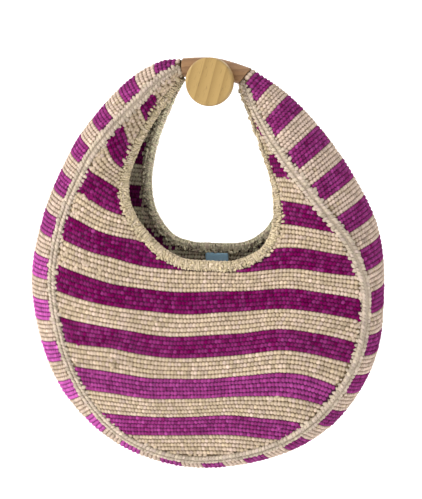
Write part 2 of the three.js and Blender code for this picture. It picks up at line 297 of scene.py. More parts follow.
# Meshes
def addMesh(name, points, quads, triangles, material, uvs=None, values=None):
    # points in mm, faces as arrays of indices, uvs per face corner, values as named point attributes
    quads, triangles = np.asarray(quads, int).reshape(-1, 4), np.asarray(triangles, int).reshape(-1, 3)
    mesh = bpy.data.meshes.new(name)
    mesh.vertices.add(len(points))
    mesh.vertices.foreach_set("co", (np.asarray(points) * mm).astype(np.float32).ravel())
    corners = np.concatenate([quads.ravel(), triangles.ravel()])
    sizes = np.concatenate([np.full(len(quads), 4), np.full(len(triangles), 3)])
    mesh.loops.add(len(corners))
    mesh.loops.foreach_set("vertex_index", corners.astype(np.int32))
    mesh.polygons.add(len(sizes))
    starts = np.concatenate([[0], np.cumsum(sizes)[:-1]])
    mesh.polygons.foreach_set("loop_start", starts.astype(np.int32))
    mesh.polygons.foreach_set("use_smooth", np.ones(len(sizes), bool))
    if uvs is not None:
        mesh.uv_layers.new(name="along").data.foreach_set("uv", np.asarray(uvs, np.float32).ravel())
    for key, array in (values or {}).items():
        mesh.attributes.new(key, "FLOAT", "POINT").data.foreach_set("value", array.astype(np.float32))
    mesh.update(calc_edges=True)
    mesh.validate()
    mesh.materials.append(material)
    piece = bpy.data.objects.new(name, mesh)
    bpy.context.scene.collection.objects.link(piece)
    return piece


def gridQuads(index):
    # faces over a grid of point numbers
    return np.stack([index[:-1, :-1], index[1:, :-1], index[1:, 1:], index[:-1, 1:]], -1).reshape(-1, 4)


def sheetMesh(name, upper, lower, material, values=None):
    # closed thin sheet between two grids of points
    top = np.arange(upper[..., 0].size).reshape(upper.shape[:2])
    border = np.concatenate([top[0, :-1], top[:-1, -1], top[-1, :0:-1], top[:0:-1, 0]])
    following = np.roll(border, -1)
    wall = np.stack([border, following, following + top.size, border + top.size], -1)
    quads = np.concatenate([gridQuads(top), gridQuads(top + top.size)[:, ::-1], wall])
    points = np.concatenate([upper.reshape(-1, 3), lower.reshape(-1, 3)])
    return addMesh(name, points, quads, [], material, values=values)


def enter(piece, slot, node=None):
    # a finished piece rides on the one body, has its slot, and may take the place of a solid
    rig.ride(piece, "root")
    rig.slot(piece, slot)
    if node:
        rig.replaces(piece, node)
    return piece


# Shaders
def wire(tree, value, socket):
    if isinstance(value, bpy.types.NodeSocket):
        tree.links.new(value, socket)
    else:
        socket.default_value = value


def feed(tree, node, values):
    for key, value in values.items():
        wire(tree, value, node.inputs[key])


def put(tree, kind, values=None, **settings):
    node = tree.nodes.new(kind)
    for key, value in settings.items():
        setattr(node, key, value)
    feed(tree, node, values or {})
    return node


def calculate(tree, operation, *values, clamp=False):
    node = put(tree, "ShaderNodeMath", dict(enumerate(values)), operation=operation, use_clamp=clamp)
    return node.outputs[0]


def mixColour(tree, share, a, b, way="MIX"):
    values = {0: share, 6: a, 7: b}  # the colour sockets of a Mix node
    return put(tree, "ShaderNodeMix", values, data_type="RGBA", blend_type=way).outputs[2]


def noise(tree, vector, scale, detail=2.0, roughness=0.5):
    values = {"Vector": vector, "Scale": scale, "Detail": detail, "Roughness": roughness}
    return put(tree, "ShaderNodeTexNoise", values).outputs["Fac"]


def attribute(tree, name):
    return put(tree, "ShaderNodeAttribute", attribute_name=name).outputs["Fac"]


def objectPlace(tree):
    return put(tree, "ShaderNodeTexCoord").outputs["Object"]


def splitVector(tree, vector):
    return put(tree, "ShaderNodeSeparateXYZ", {0: vector}).outputs


def joinVector(tree, x, y, z):
    return put(tree, "ShaderNodeCombineXYZ", {0: x, 1: y, 2: z}).outputs[0]


def setBump(tree, shader, height, distance, strength=1.0):
    bump = put(tree, "ShaderNodeBump", {"Strength": strength, "Distance": distance, "Height": height})
    wire(tree, bump.outputs[0], shader.inputs["Normal"])


def toLinear(colour):
    return tuple(c / 12.92 if c <= 0.04045 else ((c + 0.055) / 1.055) ** 2.4 for c in colour) + (1.0,)


def shaderGroup(name, inputs, outputs):
    tree = bpy.data.node_groups.new(name, "ShaderNodeTree")
    for label, kind, value in inputs:
        tree.interface.new_socket(name=label, in_out="INPUT", socket_type=kind).default_value = value
    for label, kind in outputs:
        tree.interface.new_socket(name=label, in_out="OUTPUT", socket_type=kind)
    return tree, put(tree, "NodeGroupInput").outputs, put(tree, "NodeGroupOutput").inputs


# Yarn: the fibres of every strand, and the colours of each use of it, with its painted shade and painted light
yarnFibres = {
    "strands": 4.0, "twist": 1.2, "waver": 0.5, "waverScale": 700, "fuzzScale": 2600,
    "patchScale": 18, "patchDepth": 0.3,  # wide soft patches of light and dark
    "depth": 0.0004, "strength": 0.6, "roughness": 0.9, "gloss": 0.05,
}
yarns = {
    # in each yarn, deep is the painted shade where strands dip between neighbours, contrast the painted shade between
    # fibres
    "natural": {"base": (0.77, 0.695, 0.585), "deep": (0.32, 0.26, 0.19), "tinted": (0.83, 0.745, 0.68),
                "contrast": 0.30},
    # inner: natural yarn painted paler and greener, the painted light and shade of the bag's dim inside
    "inner": {"base": (0.92, 0.90, 0.76), "deep": (0.34, 0.35, 0.25), "tinted": (0.90, 0.82, 0.74),
              "contrast": 0.45},
    "edge": {"base": (0.805, 0.745, 0.61), "deep": (0.38, 0.33, 0.22), "tinted": (0.81, 0.745, 0.66),
             "contrast": 0.35},
    "seam": {"base": (0.78, 0.725, 0.64), "deep": (0.48, 0.44, 0.37), "tinted": (0.80, 0.725, 0.68),
             "contrast": 0.32},
    # magenta's tinted is a paler pink, mixed in most as painted light on the side strip's lit lower left
    "magenta": {"base": (0.43, 0.0, 0.295), "deep": (0.12, 0.0, 0.07), "tinted": (0.83, 0.40, 0.74),
                "contrast": 0.45},
}


def makeYarnStrand():
    # fibres that run along one strand of yarn: their height, and Shade, lighter on each fibre and darker
    # between them as painted shade, with random fuzz
    tree, given, result = shaderGroup(
        "yarnStrand",
        [("Strands", "NodeSocketFloat", 3.0), ("Twist", "NodeSocketFloat", 1.0),
         ("Waver", "NodeSocketFloat", 0.3)],
        [("Height", "NodeSocketFloat"), ("Shade", "NodeSocketFloat")])
    place = objectPlace(tree)
    uv = splitVector(tree, put(tree, "ShaderNodeUVMap", uv_map="along").outputs[0])
    drift = noise(tree, place, yarnFibres["waverScale"], 3, 0.6)
    waver = calculate(tree, "MULTIPLY", drift, given["Waver"])
    around = calculate(tree, "MULTIPLY", uv[1], given["Strands"])
    along = calculate(tree, "MULTIPLY", uv[0], given["Twist"])
    phase = calculate(tree, "ADD", calculate(tree, "ADD", around, along), waver)
    ridge = calculate(tree, "SINE", calculate(tree, "MULTIPLY", phase, 2 * math.pi))
    height = calculate(tree, "MULTIPLY_ADD", ridge, 0.5, 0.5)
    fuzz = calculate(tree, "MULTIPLY", noise(tree, place, yarnFibres["fuzzScale"], 2, 0.7), 0.5)
    wire(tree, height, result["Height"])
    wire(tree, calculate(tree, "MULTIPLY_ADD", height, 0.5, fuzz), result["Shade"])
    return tree


def makeYarnDye():
    # colour of a stitch: each one's own tone and tint, painted shade in the grooves between its fibres, and
    # painted shade, the Deep colour, where it dips between its neighbours
    tree, given, result = shaderGroup(
        "yarnDye",
        [("Base", "NodeSocketColor", (1, 1, 1, 1)), ("Deep", "NodeSocketColor", (0, 0, 0, 1)),
         ("Tinted", "NodeSocketColor", (1, 1, 1, 1)), ("Shade", "NodeSocketFloat", 0.5),
         ("Contrast", "NodeSocketFloat", 0.3)],
        [("Color", "NodeSocketColor")])
    dyed = mixColour(tree, attribute(tree, "tint"), given["Base"], given["Tinted"])
    cloud, depth = noise(tree, objectPlace(tree), yarnFibres["patchScale"], 2), yarnFibres["patchDepth"]
    patches = calculate(tree, "MULTIPLY_ADD", cloud, depth, -depth / 2)
    own = calculate(tree, "SUBTRACT", attribute(tree, "tone"), 0.5)
    fibre = calculate(tree, "SUBTRACT", given["Shade"], 0.5)
    light = calculate(tree, "ADD", own, patches)
    # painted shade between fibres, as strong as Contrast
    light = calculate(tree, "MULTIPLY_ADD", fibre, given["Contrast"], light)
    light = calculate(tree, "ADD", light, 1.0)
    grey = put(tree, "ShaderNodeCombineColor", {0: light, 1: light, 2: light})
    lit = mixColour(tree, 1.0, dyed, grey.outputs[0], "MULTIPLY")
    # painted shade: where crown is low the Deep colour takes over
    wire(tree, mixColour(tree, attribute(tree, "crown"), given["Deep"], lit), result["Color"])
    return tree


yarnStrand, yarnDye = makeYarnStrand(), makeYarnDye()


def newMaterial(name):
    material = bpy.data.materials.new(name)
    material.use_nodes = True
    return material, material.node_tree, material.node_tree.nodes["Principled BSDF"]


def placeGroup(tree, group, values):
    return put(tree, "ShaderNodeGroup", values, node_tree=group).outputs


def makeYarn(name, look):
    material, tree, shader = newMaterial(name)
    strand = placeGroup(tree, yarnStrand, {
        "Strands": yarnFibres["strands"], "Twist": yarnFibres["twist"], "Waver": yarnFibres["waver"]})
    dye = placeGroup(tree, yarnDye, {
        "Base": toLinear(look["base"]), "Deep": toLinear(look["deep"]),
        "Tinted": toLinear(look["tinted"]), "Shade": strand["Shade"], "Contrast": look["contrast"]})
    feed(tree, shader, {
        "Base Color": dye["Color"], "Specular IOR Level": yarnFibres["gloss"],
        "Roughness": calculate(tree, "MULTIPLY_ADD", strand["Shade"], -0.2, yarnFibres["roughness"])})
    setBump(tree, shader, strand["Height"], yarnFibres["depth"], yarnFibres["strength"])
    return material


naturalYarn, insideShadeYarn, edgeYarn, seamYarn, magentaYarn = (
    makeYarn(name + "Yarn", look) for name, look in yarns.items())


# Stitches
def stitchTemplate(rings, sides):
    # faces and face-corner uvs of one closed strand: a tip, rings of points, a tip
    inner = rings - 2
    point = lambda ring, k: 1 + ring * sides + k % sides
    last = 1 + inner * sides
    quads, quadUvs, triangles, triangleUvs = [], [], [], []
    for k in range(sides):
        v, w = k / sides, (k + 1) / sides
        triangles += [(0, point(0, k + 1), point(0, k)),
                      (last, point(inner - 1, k), point(inner - 1, k + 1))]
        step = 1 / (rings - 1)
        triangleUvs += [(0, v), (step, w), (step, v), (1, v), (1 - step, v), (1 - step, w)]
        for ring in range(inner - 1):
            low, high = (ring + 1) * step, (ring + 2) * step
            quads.append((point(ring, k), point(ring, k + 1), point(ring + 1, k + 1), point(ring + 1, k)))
            quadUvs += [(low, v), (low, w), (high, w), (high, v)]
    return np.array(quads), np.array(quadUvs), np.array(triangles), np.array(triangleUvs), last + 1


def strandMesh(name, centres, sideways, upward, sides, tone, tint, material, crownFloor=0.0):
    # many closed strands; centres, sideways and upward are arrays of strand by ring by XYZ
    count, rings = centres.shape[:2]
    quads, quadUvs, triangles, triangleUvs, size = stitchTemplate(rings, sides)
    angle = 2 * np.pi * (np.arange(sides) + 0.5) / sides + (np.pi / 2 - np.pi / sides)
    ringPoints = (centres[:, 1:-1, None] + sideways[:, 1:-1, None] * np.cos(angle)[:, None]
                  + upward[:, 1:-1, None] * np.sin(angle)[:, None])
    points = np.concatenate([centres[:, :1], ringPoints.reshape(count, -1, 3), centres[:, -1:]], 1)
    shift = (np.arange(count) * size)[:, None, None]
    # crown: low at a strand's sides and tips, where the dye paints the Deep colour as shade between strands
    rise = np.linalg.norm(upward[:, 1:-1], axis=-1)
    rise = rise / rise.max(1, keepdims=True)
    crown = (np.abs(np.sin(angle)) ** 0.5 * rise[..., None]).reshape(count, -1)
    crown = np.pad(crown, ((0, 0), (1, 1)), constant_values=0.25)
    # crownFloor raises the least crown, so the strand gets less painted shade
    crown = crownFloor + (1 - crownFloor) * crown
    uvs = np.concatenate([np.tile(quadUvs, (count, 1)), np.tile(triangleUvs, (count, 1))])
    values = {"crown": crown.ravel(), "tone": np.repeat(tone, size), "tint": np.repeat(tint, size)}
    return addMesh(name, points.reshape(-1, 3), (quads[None] + shift).reshape(-1, 4),
                   (triangles[None] + shift).reshape(-1, 3), material, uvs, values)


class Spots:
    # where stitches stand: place, way along the row, way down to the next row, way out of the cloth
    names = ["at", "along", "down", "out", "pitch", "rowPitch", "row"]

    def __init__(self):
        self.lists = {name: [] for name in self.names}

    def add(self, **values):
        for name in self.names:
            self.lists[name].append(np.asarray(values[name], float))

    def join(self):
        for name in self.names:
            setattr(self, name, np.concatenate(self.lists[name]))
        return self

    def pick(self, chosen):
        some = Spots()
        for name in self.names:
            setattr(some, name, getattr(self, name)[chosen])
        return some


# One single crochet stitch: places along and down are shares of the stitch and row pitch, lift and
# half height are millimetres, and half width is a share of the stitch pitch. Spreads are what chance
# adds to each stitch. The back's stitches have fewer sides.
plainStitch = {
    "sides": 6,
    "rings": [  # along, down, lift, half width, half height
        (-0.30, -0.54, -0.6, 0, 0),
        (-0.26, -0.42, -0.1, 0.52, 0.85),
        (-0.12, -0.12, 0.35, 0.66, 1.50),
        (0.10, 0.16, 0.35, 0.66, 1.50),
        (0.26, 0.44, -0.1, 0.48, 0.85),
        (0.30, 0.58, -0.6, 0, 0),
    ],
    "toneSpread": 0.12, "slideSpread": 0.05, "sizeSpread": 0.07, "liftSpread": 0.12,
}
backStitch = {**plainStitch, "sides": 5}


def stitchesAt(name, spots, form, material, tint, tintSpread=0.35):
    ring = np.array(form["rings"], float)
    count = len(spots.at)
    pitch, rowPitch = spots.pitch[:, None, None], spots.rowPitch[:, None, None]
    along, down, out = (v[:, None] for v in (spots.along, spots.down, spots.out))
    slide = dice.normal(0, form["slideSpread"], (count, 1, 1))
    size = (1 + dice.normal(0, form["sizeSpread"], count))[:, None, None]
    lift = dice.normal(0, form["liftSpread"], (count, 1, 1))
    centres = (spots.at[:, None] + along * pitch * (ring[:, 0, None] + slide)
               + down * rowPitch * ring[:, 1, None] + out * (ring[:, 2, None] + lift))
    axis = unit(spots.along * (ring[-1, 0] - ring[0, 0]) * spots.pitch[:, None]
                + spots.down * (ring[-1, 1] - ring[0, 1]) * spots.rowPitch[:, None])
    side = np.cross(spots.out, axis)[:, None]
    sideways = side * pitch * ring[:, 3, None] * size
    upward = out * ring[:, 4, None] * size
    tones = np.clip(0.5 + dice.normal(0, form["toneSpread"], count), 0, 1)
    tints = np.clip(tint + dice.normal(0, tintSpread, count), 0, 1)
    return strandMesh(name, centres, sideways, upward, form["sides"], tones, tints, material)


# Rows of the front panel. The edges of its stripes are marked in photo pixels: the row that
# starts there, counted from the top of the first stripe, and points along that edge.
stripeMarks = {
    0: [(154.5, 94), (158, 102.5), (250, 111.5)],
    5: [(139.8, 107.5), (143.8, 117.3), (262, 135.5)],
    10: [(123.7, 128.8), (129.4, 143), (275, 154)],
    15: [(107.5, 147.5), (116, 164), (278, 177), (294, 178)],
    20: [(90.4, 171.6), (100.6, 177.2), (113.9, 185.9), (120, 191), (283, 201), (313, 206)],
    25: [(81, 193), (93, 201.2), (105.7, 209.4), (121, 215), (284, 224), (331.5, 232)],
    30: [(72, 217.3), (80, 221.3), (97.3, 230.5), (117.4, 236.8), (134.6, 239.7), (275.5, 248.5),
         (308, 249), (348, 256)],
    35: [(63.4, 239.7), (77.2, 246), (94.4, 252.9), (111.7, 257.2), (128.9, 262.7), (146.1, 266.7),
         (173, 269.4), (246, 272.4), (292, 268.5), (356, 276)],
    40: [(61, 266), (112, 284), (150, 289.4), (168.4, 291.7), (190, 292.3), (219, 291.2), (246, 291),
         (285, 288.5), (323, 293), (359, 299)],
    45: [(61, 292), (112, 306), (150, 311), (168, 313), (197.6, 314.1), (219, 312.4), (246, 311),
         (292, 309), (323, 313), (360, 320)],
    50: [(62, 317), (112, 328), (150, 334.8), (173, 336.8), (197.6, 336), (246, 333), (282, 329),
         (308, 332), (357, 343)],
    55: [(64, 341), (112, 348), (150, 355.6), (188, 358), (210, 357), (246, 354), (282, 350),
         (308, 353), (350, 363)],
    60: [(74, 366), (112, 372), (150, 378), (173, 378.6), (210, 378.5), (246, 375.6), (282, 372.5),
         (308, 375.6), (339, 387)],
    65: [(81, 388.5), (112, 393), (150, 398.5), (210, 398), (246, 396), (277, 396), (300, 399),
         (323, 405)],
    70: [(106, 413), (142, 416), (210, 415.5), (231, 415), (262, 418), (305.5, 424)],
    75: [(130, 434.5), (173, 435), (210, 434.5), (246, 436), (280, 440)],
}
rows = {
    "stripe": 10, "magenta": 5, "stripes": 8,  # rows from stripe to stripe, magenta ones, stripes
    "stitchPitch": 3.8, "toothRoom": 2.4,
    "lean": 0.37,  # how far a row's stitches stand beside those of the row above, in stitches
    "step": 1.2, "edgeSlack": -0.5, "mostSteps": 900,  # of a traced row
    "smoothing": 0.004, "fieldScale": 100, "pitchRange": (3.0, 6.5),
    "bareReach": 2.9, "bareRoom": 0.8, "barePitch": 4.2,
    "backPitch": 4.95, "backTop": (-163.8, 30), "backWave": (1.6, 60),
    # magenta blocks of the side strip: the middles of seven of them along the seam, and their numbers
    "stripMiddles": [15, 170, 349, 522, 702, 876, 1074], "stripBlocks": [0, 4, 8, 12, 16, 20, 25],
    "tipPitch": (3.9, 5.4), "stripReach": 0.9,
}
# how pale the magenta is: by stripe on the panels, paler in the two lowest, and by distance along the seam
# on the side strip, where it is painted light, palest on the lower left that faces the lamp on the left
stripePaleness = [0.07, 0.08, 0.07, 0.07, 0.05, 0.12, 0.36, 0.30]
stripPaintedLight = {"at": [0, 110, 220, 270, 430, 500, 620, 760, 1093],
              "share": [0.24, 0.29, 0.38, 0.82, 0.88, 0.48, 0.24, 0.22, 0.24]}
innerMargin = {"clear": 12, "ragged": 2.5}  # natural band of the back panel beside its rim


def pixelRay(x, y):
    photoX, photoY = x - cameraPlace["photoWidth"] / 2, cameraPlace["photoHeight"] / 2 - y
    return unit(-cameraBack * focalPixels + cameraRight * photoX + cameraUp * photoY)


def thinPlate(points, values):
    # smooth surface through scattered marks, and its slope
    points, values = np.array(points) / rows["fieldScale"], np.array(values, float)
    count = len(points)
    away = np.linalg.norm(points[:, None] - points[None], axis=-1)
    kernel = np.where(away > 0, away ** 2 * np.log(np.maximum(away, 1e-9)), 0)
    flat = np.column_stack([np.ones(count), points])
    system = np.block([[kernel + rows["smoothing"] * np.eye(count), flat], [flat.T, np.zeros((3, 3))]])
    weights = np.linalg.solve(system, np.concatenate([values, np.zeros(3)]))

    def surface(x, z):
        offset = np.stack([np.asarray(x), np.asarray(z)], -1)[..., None, :] / rows["fieldScale"] - points
        square = np.maximum((offset ** 2).sum(-1), 1e-12)
        height = ((0.5 * square * np.log(square)) @ weights[:count] + weights[count]
                  + x / rows["fieldScale"] * weights[-2] + z / rows["fieldScale"] * weights[-1])
        pull = ((np.log(square) + 1)[..., None] * offset * weights[:count, None]).sum(-2) + weights[-2:]
        return height, pull / rows["fieldScale"]
    return surface


panelGrid = {"alongCount": 400, "acrossCount": 36, "railCount": 1500, "farOff": 500}


class Panel:
    # the middle surface of one hanging panel, laid out over X and Z, and its rails
    def __init__(self, isFront):
        self.isFront, self.way = isFront, 1 if isFront else -1
        size = panelGrid["alongCount"], panelGrid["acrossCount"]
        distance, share = np.meshgrid(np.linspace(0, seamLength, size[0]), np.linspace(0, 1, size[1]),
                                      indexing="ij")
        self.grid = panelPoint(Cut(distance), share, isFront)
        quads = gridQuads(np.arange(size[0] * size[1]).reshape(size))
        self.tree = BVHTree.FromPolygons(self.grid.reshape(-1, 3).tolist(), quads.tolist())
        rail = Cut(np.linspace(0, seamLength, panelGrid["railCount"]))
        self.seamTree, self.rimTree = railTree(rail.seam(isFront)), railTree(rail.rim(isFront))
        self.railScale = rail.scale

    def land(self, x, z):
        start = Vector((x, -panelGrid["farOff"] * self.way, z))
        place, normal, _, _ = self.tree.ray_cast(start, Vector((0, self.way, 0)))
        if place is None:
            return None, None
        return place, normal if normal.y * self.way < 0 else -normal

    def atRim(self, place):
        return self.rimTree.find(place)[2] < self.seamTree.find(place)[2]

    def room(self, place):
        # how far a point is clear of the seam band and of the rim band
        _, i, toSeam = self.seamTree.find(place)
        _, k, toRim = self.rimTree.find(place)
        return min(toSeam - bag["seamReach"] * self.railScale[i],
                   toRim - bag["rimWidth"] / 2 * self.railScale[k])


def railTree(points):
    tree = KDTree(len(points))
    for i, point in enumerate(points):
        tree.insert(point, i)
    tree.balance()
    return tree


frontPanel, backPanel = Panel(True), Panel(False)
teeth = {"rim": [], "seam": []}  # ends of rows: place, way into the row, way out of the cloth


def frontField():
    points, values = [], []
    for row, marks in stripeMarks.items():
        for x, y in marks:
            place, _, _, _ = frontPanel.tree.ray_cast(Vector(cameraPoint), Vector(pixelRay(x, y)))
            if place is not None:
                points.append((place.x, place.z))
                values.append(row)
    print("stripe marks on the front panel:", len(points))
    return thinPlate(points, values)


def backField():
    z0, row0 = rows["backTop"]
    wave, reach = rows["backWave"]

    def surface(x, z):
        height = row0 + (z0 - z + wave * np.sin(x / reach)) / rows["backPitch"]
        slope = wave / reach * np.cos(x / reach) / rows["backPitch"]
        return height, np.stack([slope, 0 * slope - 1 / rows["backPitch"]], -1)
    return surface


def traceRow(panel, field, level, x, z, way):
    # follows one row from a point on it until it meets a seam or rim band
    found = []
    for _ in range(rows["mostSteps"]):
        height, slope = field(x, z)
        pull = (level - height) / (slope @ slope)
        x, z = x + slope[0] * pull, z + slope[1] * pull
        place, normal = panel.land(x, z)
        if place is None or panel.room(place) < rows["edgeSlack"]:
            break
        found.append((*place, *normal, x, z))
        along = np.array([-slope[1], slope[0]]) / np.linalg.norm(slope) * way * panel.way
        x, z = x + along[0] * rows["step"], z + along[1] * rows["step"]
    return found


def panelRows(panel, field):
    spots = Spots()
    grid = panel.grid
    height, _ = field(grid[..., 0], grid[..., 2])
    for row in range(math.floor(height.min()), math.ceil(height.max()) + 1):
        level = row + 0.5
        over = height > level
        crossings = [(i, k, i, k + 1) for i, k in np.argwhere(over[:, 1:] != over[:, :-1])]
        crossings += [(i, k, i + 1, k) for i, k in np.argwhere(over[1:] != over[:-1])]
        done = np.zeros((0, 2))
        for i, k, j, m in crossings:
            share = (level - height[i, k]) / (height[j, m] - height[i, k])
            x, _, z = grid[i, k] + (grid[j, m] - grid[i, k]) * share
            if len(done) and np.min(np.abs(done - (x, z)).max(1)) < rows["step"] * 1.6:
                continue
            place, _ = panel.land(x, z)
            if place is None or panel.room(place) < 0:
                continue
            back, ahead = (traceRow(panel, field, level, x, z, way) for way in (-1, 1))
            line = np.array(back[::-1] + ahead[1:])
            if len(line) < 3:
                continue
            done = np.concatenate([done, line[:, 6:]])
            addRow(spots, line, row, field)
            for last, inner in ((0, 2), (-1, -3)):
                way = unit(line[inner, :3] - line[last, :3])
                teeth["rim" if panel.atRim(Vector(line[last, :3])) else "seam"].append(
                    (*line[last, :3], *way, *line[last, 3:6]))
    return spots.join()


def addRow(spots, line, row, field):
    # stitches in equal steps along a traced line, short of the natural tooth at each end
    places, normals = line[:, :3], line[:, 3:6]
    lengths = runLengths(places)
    first = rows["toothRoom"] + (row * rows["lean"]) % 1 * rows["stitchPitch"]
    at = np.arange(first, lengths[-1] - rows["toothRoom"], rows["stitchPitch"])
    if len(at) < 1:
        return
    pick = lambda at, array: np.stack([np.interp(at, lengths, array[:, k]) for k in range(3)], -1)
    place, out = pick(at, places), unit(pick(at, normals))
    along = unit(pick(at + 1, places) - pick(at - 1, places))
    along = unit(along - out * dot(along, out))
    down = np.cross(out, along) * -1
    steep = np.linalg.norm(field(place[:, 0], place[:, 2])[1], axis=-1)
    fall = np.hypot(down[:, 0], down[:, 2])
    spots.add(at=place, along=along, down=down, out=out, pitch=np.full(len(at), rows["stitchPitch"]),
              rowPitch=np.clip(1 / steep / np.maximum(fall, 0.6), *rows["pitchRange"]),
              row=np.full(len(at), row))


def fillBare(panel, field, spots):
    # stitches where the traced rows leave bare cloth, near the tips of the two arms
    along, across = np.gradient(panel.grid, axis=0), np.gradient(panel.grid, axis=1)
    grid, along = panel.grid.reshape(-1, 3), unit(along.reshape(-1, 3))
    out = unit(np.cross(along, across.reshape(-1, 3)))
    out = out * -np.sign(out[:, 1:2]) * panel.way
    taken = railTree(spots.at)
    chosen = []
    for i, place in enumerate(grid):
        if taken.find(place)[2] < rows["bareReach"] or panel.room(Vector(place)) < rows["bareRoom"]:
            continue
        if chosen and np.min(np.linalg.norm(grid[chosen] - place, axis=1)) < rows["bareReach"]:
            continue
        chosen.append(i)
    one = np.ones(len(chosen))
    print("stitches on bare cloth:", len(chosen))
    filled = Spots()
    for name in filled.names:
        filled.lists[name].append(getattr(spots, name))
    down = np.cross(out[chosen], along[chosen]) * -1
    filled.add(at=grid[chosen], along=along[chosen], down=down, out=out[chosen],
               pitch=rows["stitchPitch"] * one, rowPitch=rows["barePitch"] * one,
               row=np.floor(field(grid[chosen][:, 0], grid[chosen][:, 2])[0]))
    return filled.join()


def stripLevels(distance):
    # row of the side strip at a distance along the seam
    middles = rows["stripMiddles"]
    levels = np.array(rows["stripBlocks"]) * rows["stripe"] + rows["magenta"] / 2
    return (np.interp(distance, middles, levels)
            + np.minimum(0, distance - middles[0]) / rows["tipPitch"][0]
            + np.maximum(0, distance - middles[-1]) / rows["tipPitch"][1])


def stripRows():
    # rows that run across the side strip, from the back seam to the front one
    spots = Spots()
    distances = np.arange(0, seamLength, 1.0)
    levels = stripLevels(distances)
    for row in range(math.ceil(levels[0] - 0.5), math.floor(levels[-1] - 0.5) + 1):
        distance = np.interp(row + 0.5, levels, distances)
        lower, upper = np.interp([distance - 1, distance + 1], distances, levels)
        rowPitch = 2 / (upper - lower)
        cut = Cut(distance)
        reach = cut.openAngle - bag["seamReach"] * cut.scale / cut.radius * rows["stripReach"]
        arc = 2 * reach * cut.radius
        pitch = arc / max(2, round(arc / rows["stitchPitch"]))
        at = np.arange(pitch * ((row * rows["lean"]) % 1) - arc / 2, arc / 2, pitch)
        at = at[np.abs(at) < arc / 2 - rows["toothRoom"]]
        if len(at) < 2:
            continue
        angle, one = at / cut.radius, np.ones(len(at))
        here = Cut(distance * one)
        ahead, behind = (stripPoint(Cut((distance + way) * one), angle) for way in (1, -1))
        along = -unit(here.across * np.cos(angle)[:, None] - here.arch * np.sin(angle)[:, None])
        down = unit(ahead - behind)
        down = unit(down - along * dot(down, along))
        out = unit(np.cross(down, along))
        stretch = np.linalg.norm(ahead - behind, axis=1) / 2
        spots.add(at=stripPoint(here, angle), along=along, down=down, out=out, pitch=pitch * one,
                  rowPitch=rowPitch * stretch, row=row * one)
        edge = Cut(np.array([distance]))
        for side in (-1, 1):
            tip, inner = stripPoint(edge, side * reach), stripPoint(edge, side * (reach - 0.02))
            normal = out[0] if side < 0 else out[-1]
            teeth["seam"].append((*tip[0], *unit(inner - tip)[0], *normal))
    return spots.join()


def isMagenta(row, stripes):
    return (row % rows["stripe"] < rows["magenta"]) & (row >= 0) & (row < stripes * rows["stripe"])


# Strands of yarn at given places. A ring is its place along, across and out of the cloth, its half
# width and its half height, in millimetres. Swing is in degrees, slide in millimetres.
strandSides = 6


def beadsAt(name, at, along, out, form, material, tone=0.5, scale=1.0, crownFloor=0.0):
    ring = np.array(form["rings"], float)
    count = len(at)
    swing = np.radians(dice.normal(0, form["swing"], count))[:, None]
    at = at + along * dice.normal(0, form["slide"], count)[:, None]
    along = unit(along * np.cos(swing) + np.cross(out, along) * np.sin(swing))
    across = unit(np.cross(out, along))
    size = (np.ones(count) * scale * (1 + dice.normal(0, form["spread"], count)))[:, None, None]
    place = (along[:, None] * ring[:, 0, None] + across[:, None] * ring[:, 1, None]
             + out[:, None] * ring[:, 2, None])
    centres = at[:, None] + size * place
    axis = unit(np.gradient(centres, axis=1))
    hint = (along if form.get("crosswise") else across)[:, None]
    sideways = unit(hint - axis * dot(axis, hint))
    upward = np.cross(axis, sideways)
    tones = np.clip(tone + dice.normal(0, form["toneSpread"], count), 0, 1)
    tints = np.clip(0.3 + dice.normal(0, 0.3, count), 0, 1)
    return strandMesh(name, centres, sideways * ring[:, 3, None] * size, upward * ring[:, 4, None] * size,
                      strandSides, tones, tints, material, crownFloor)


def joined(name, parts):
    # several pieces of yarn as one
    bpy.ops.object.select_all(action="DESELECT")
    for part in parts:
        part.select_set(True)
    bpy.context.view_layer.objects.active = parts[0]
    bpy.ops.object.join()
    parts[0].name = parts[0].data.name = name
    return parts[0]


# Thin cloths that carry the stitches, seen only at the pinholes between them and painted dark as the
# shade in those pinholes: dark magenta in the stripes, dark natural elsewhere
cloth = {
    "thickness": 1.0, "alongSteps": 250, "acrossSteps": 22, "endGap": 1,
    "panelShare": (0.01, 0.985), "panelFlat": (0.40, 0.43), "panelArea": 0.088,
    "stripShare": (-0.97, 0.97), "stripFlat": (0.105, 1.12), "stripArea": 0.105,
    # painted shade: the dark colours of the pinholes
    "natural": ((0.30, 0.25, 0.17), (0.52, 0.44, 0.32)),
    "magenta": ((0.17, 0.0, 0.13), (0.32, 0.04, 0.26)),
    "cloudScale": 500, "grainScale": 900, "grainDepth": 0.0004,
}


def makePinholeShade():
    material, tree, shader = newMaterial("groundCloth")
    row = calculate(tree, "FLOORED_MODULO", attribute(tree, "row"), rows["stripe"])
    inStripe = calculate(tree, "LESS_THAN", row, rows["magenta"])
    place = objectPlace(tree)
    cloud = noise(tree, place, cloth["cloudScale"])
    natural, magenta = (mixColour(tree, cloud, *map(toLinear, cloth[name]))
                        for name in ("natural", "magenta"))
    feed(tree, shader, {"Base Color": mixColour(tree, inStripe, natural, magenta), "Roughness": 0.95})
    setBump(tree, shader, noise(tree, place, cloth["grainScale"]), cloth["grainDepth"])
    return material


groundCloth = makePinholeShade()


def clothGrid(shares):
    alongSeam = np.linspace(cloth["endGap"], seamLength - cloth["endGap"], cloth["alongSteps"])
    return np.meshgrid(alongSeam, np.linspace(*shares, cloth["acrossSteps"]), indexing="ij")


def clothMesh(name, middle, row):
    along, across = np.gradient(middle, axis=0), np.gradient(middle, axis=1)
    rise = unit(np.cross(along, across)) * cloth["thickness"] / 2
    return sheetMesh(name, middle + rise, middle - rise, groundCloth, {"row": np.tile(row.ravel(), 2)})


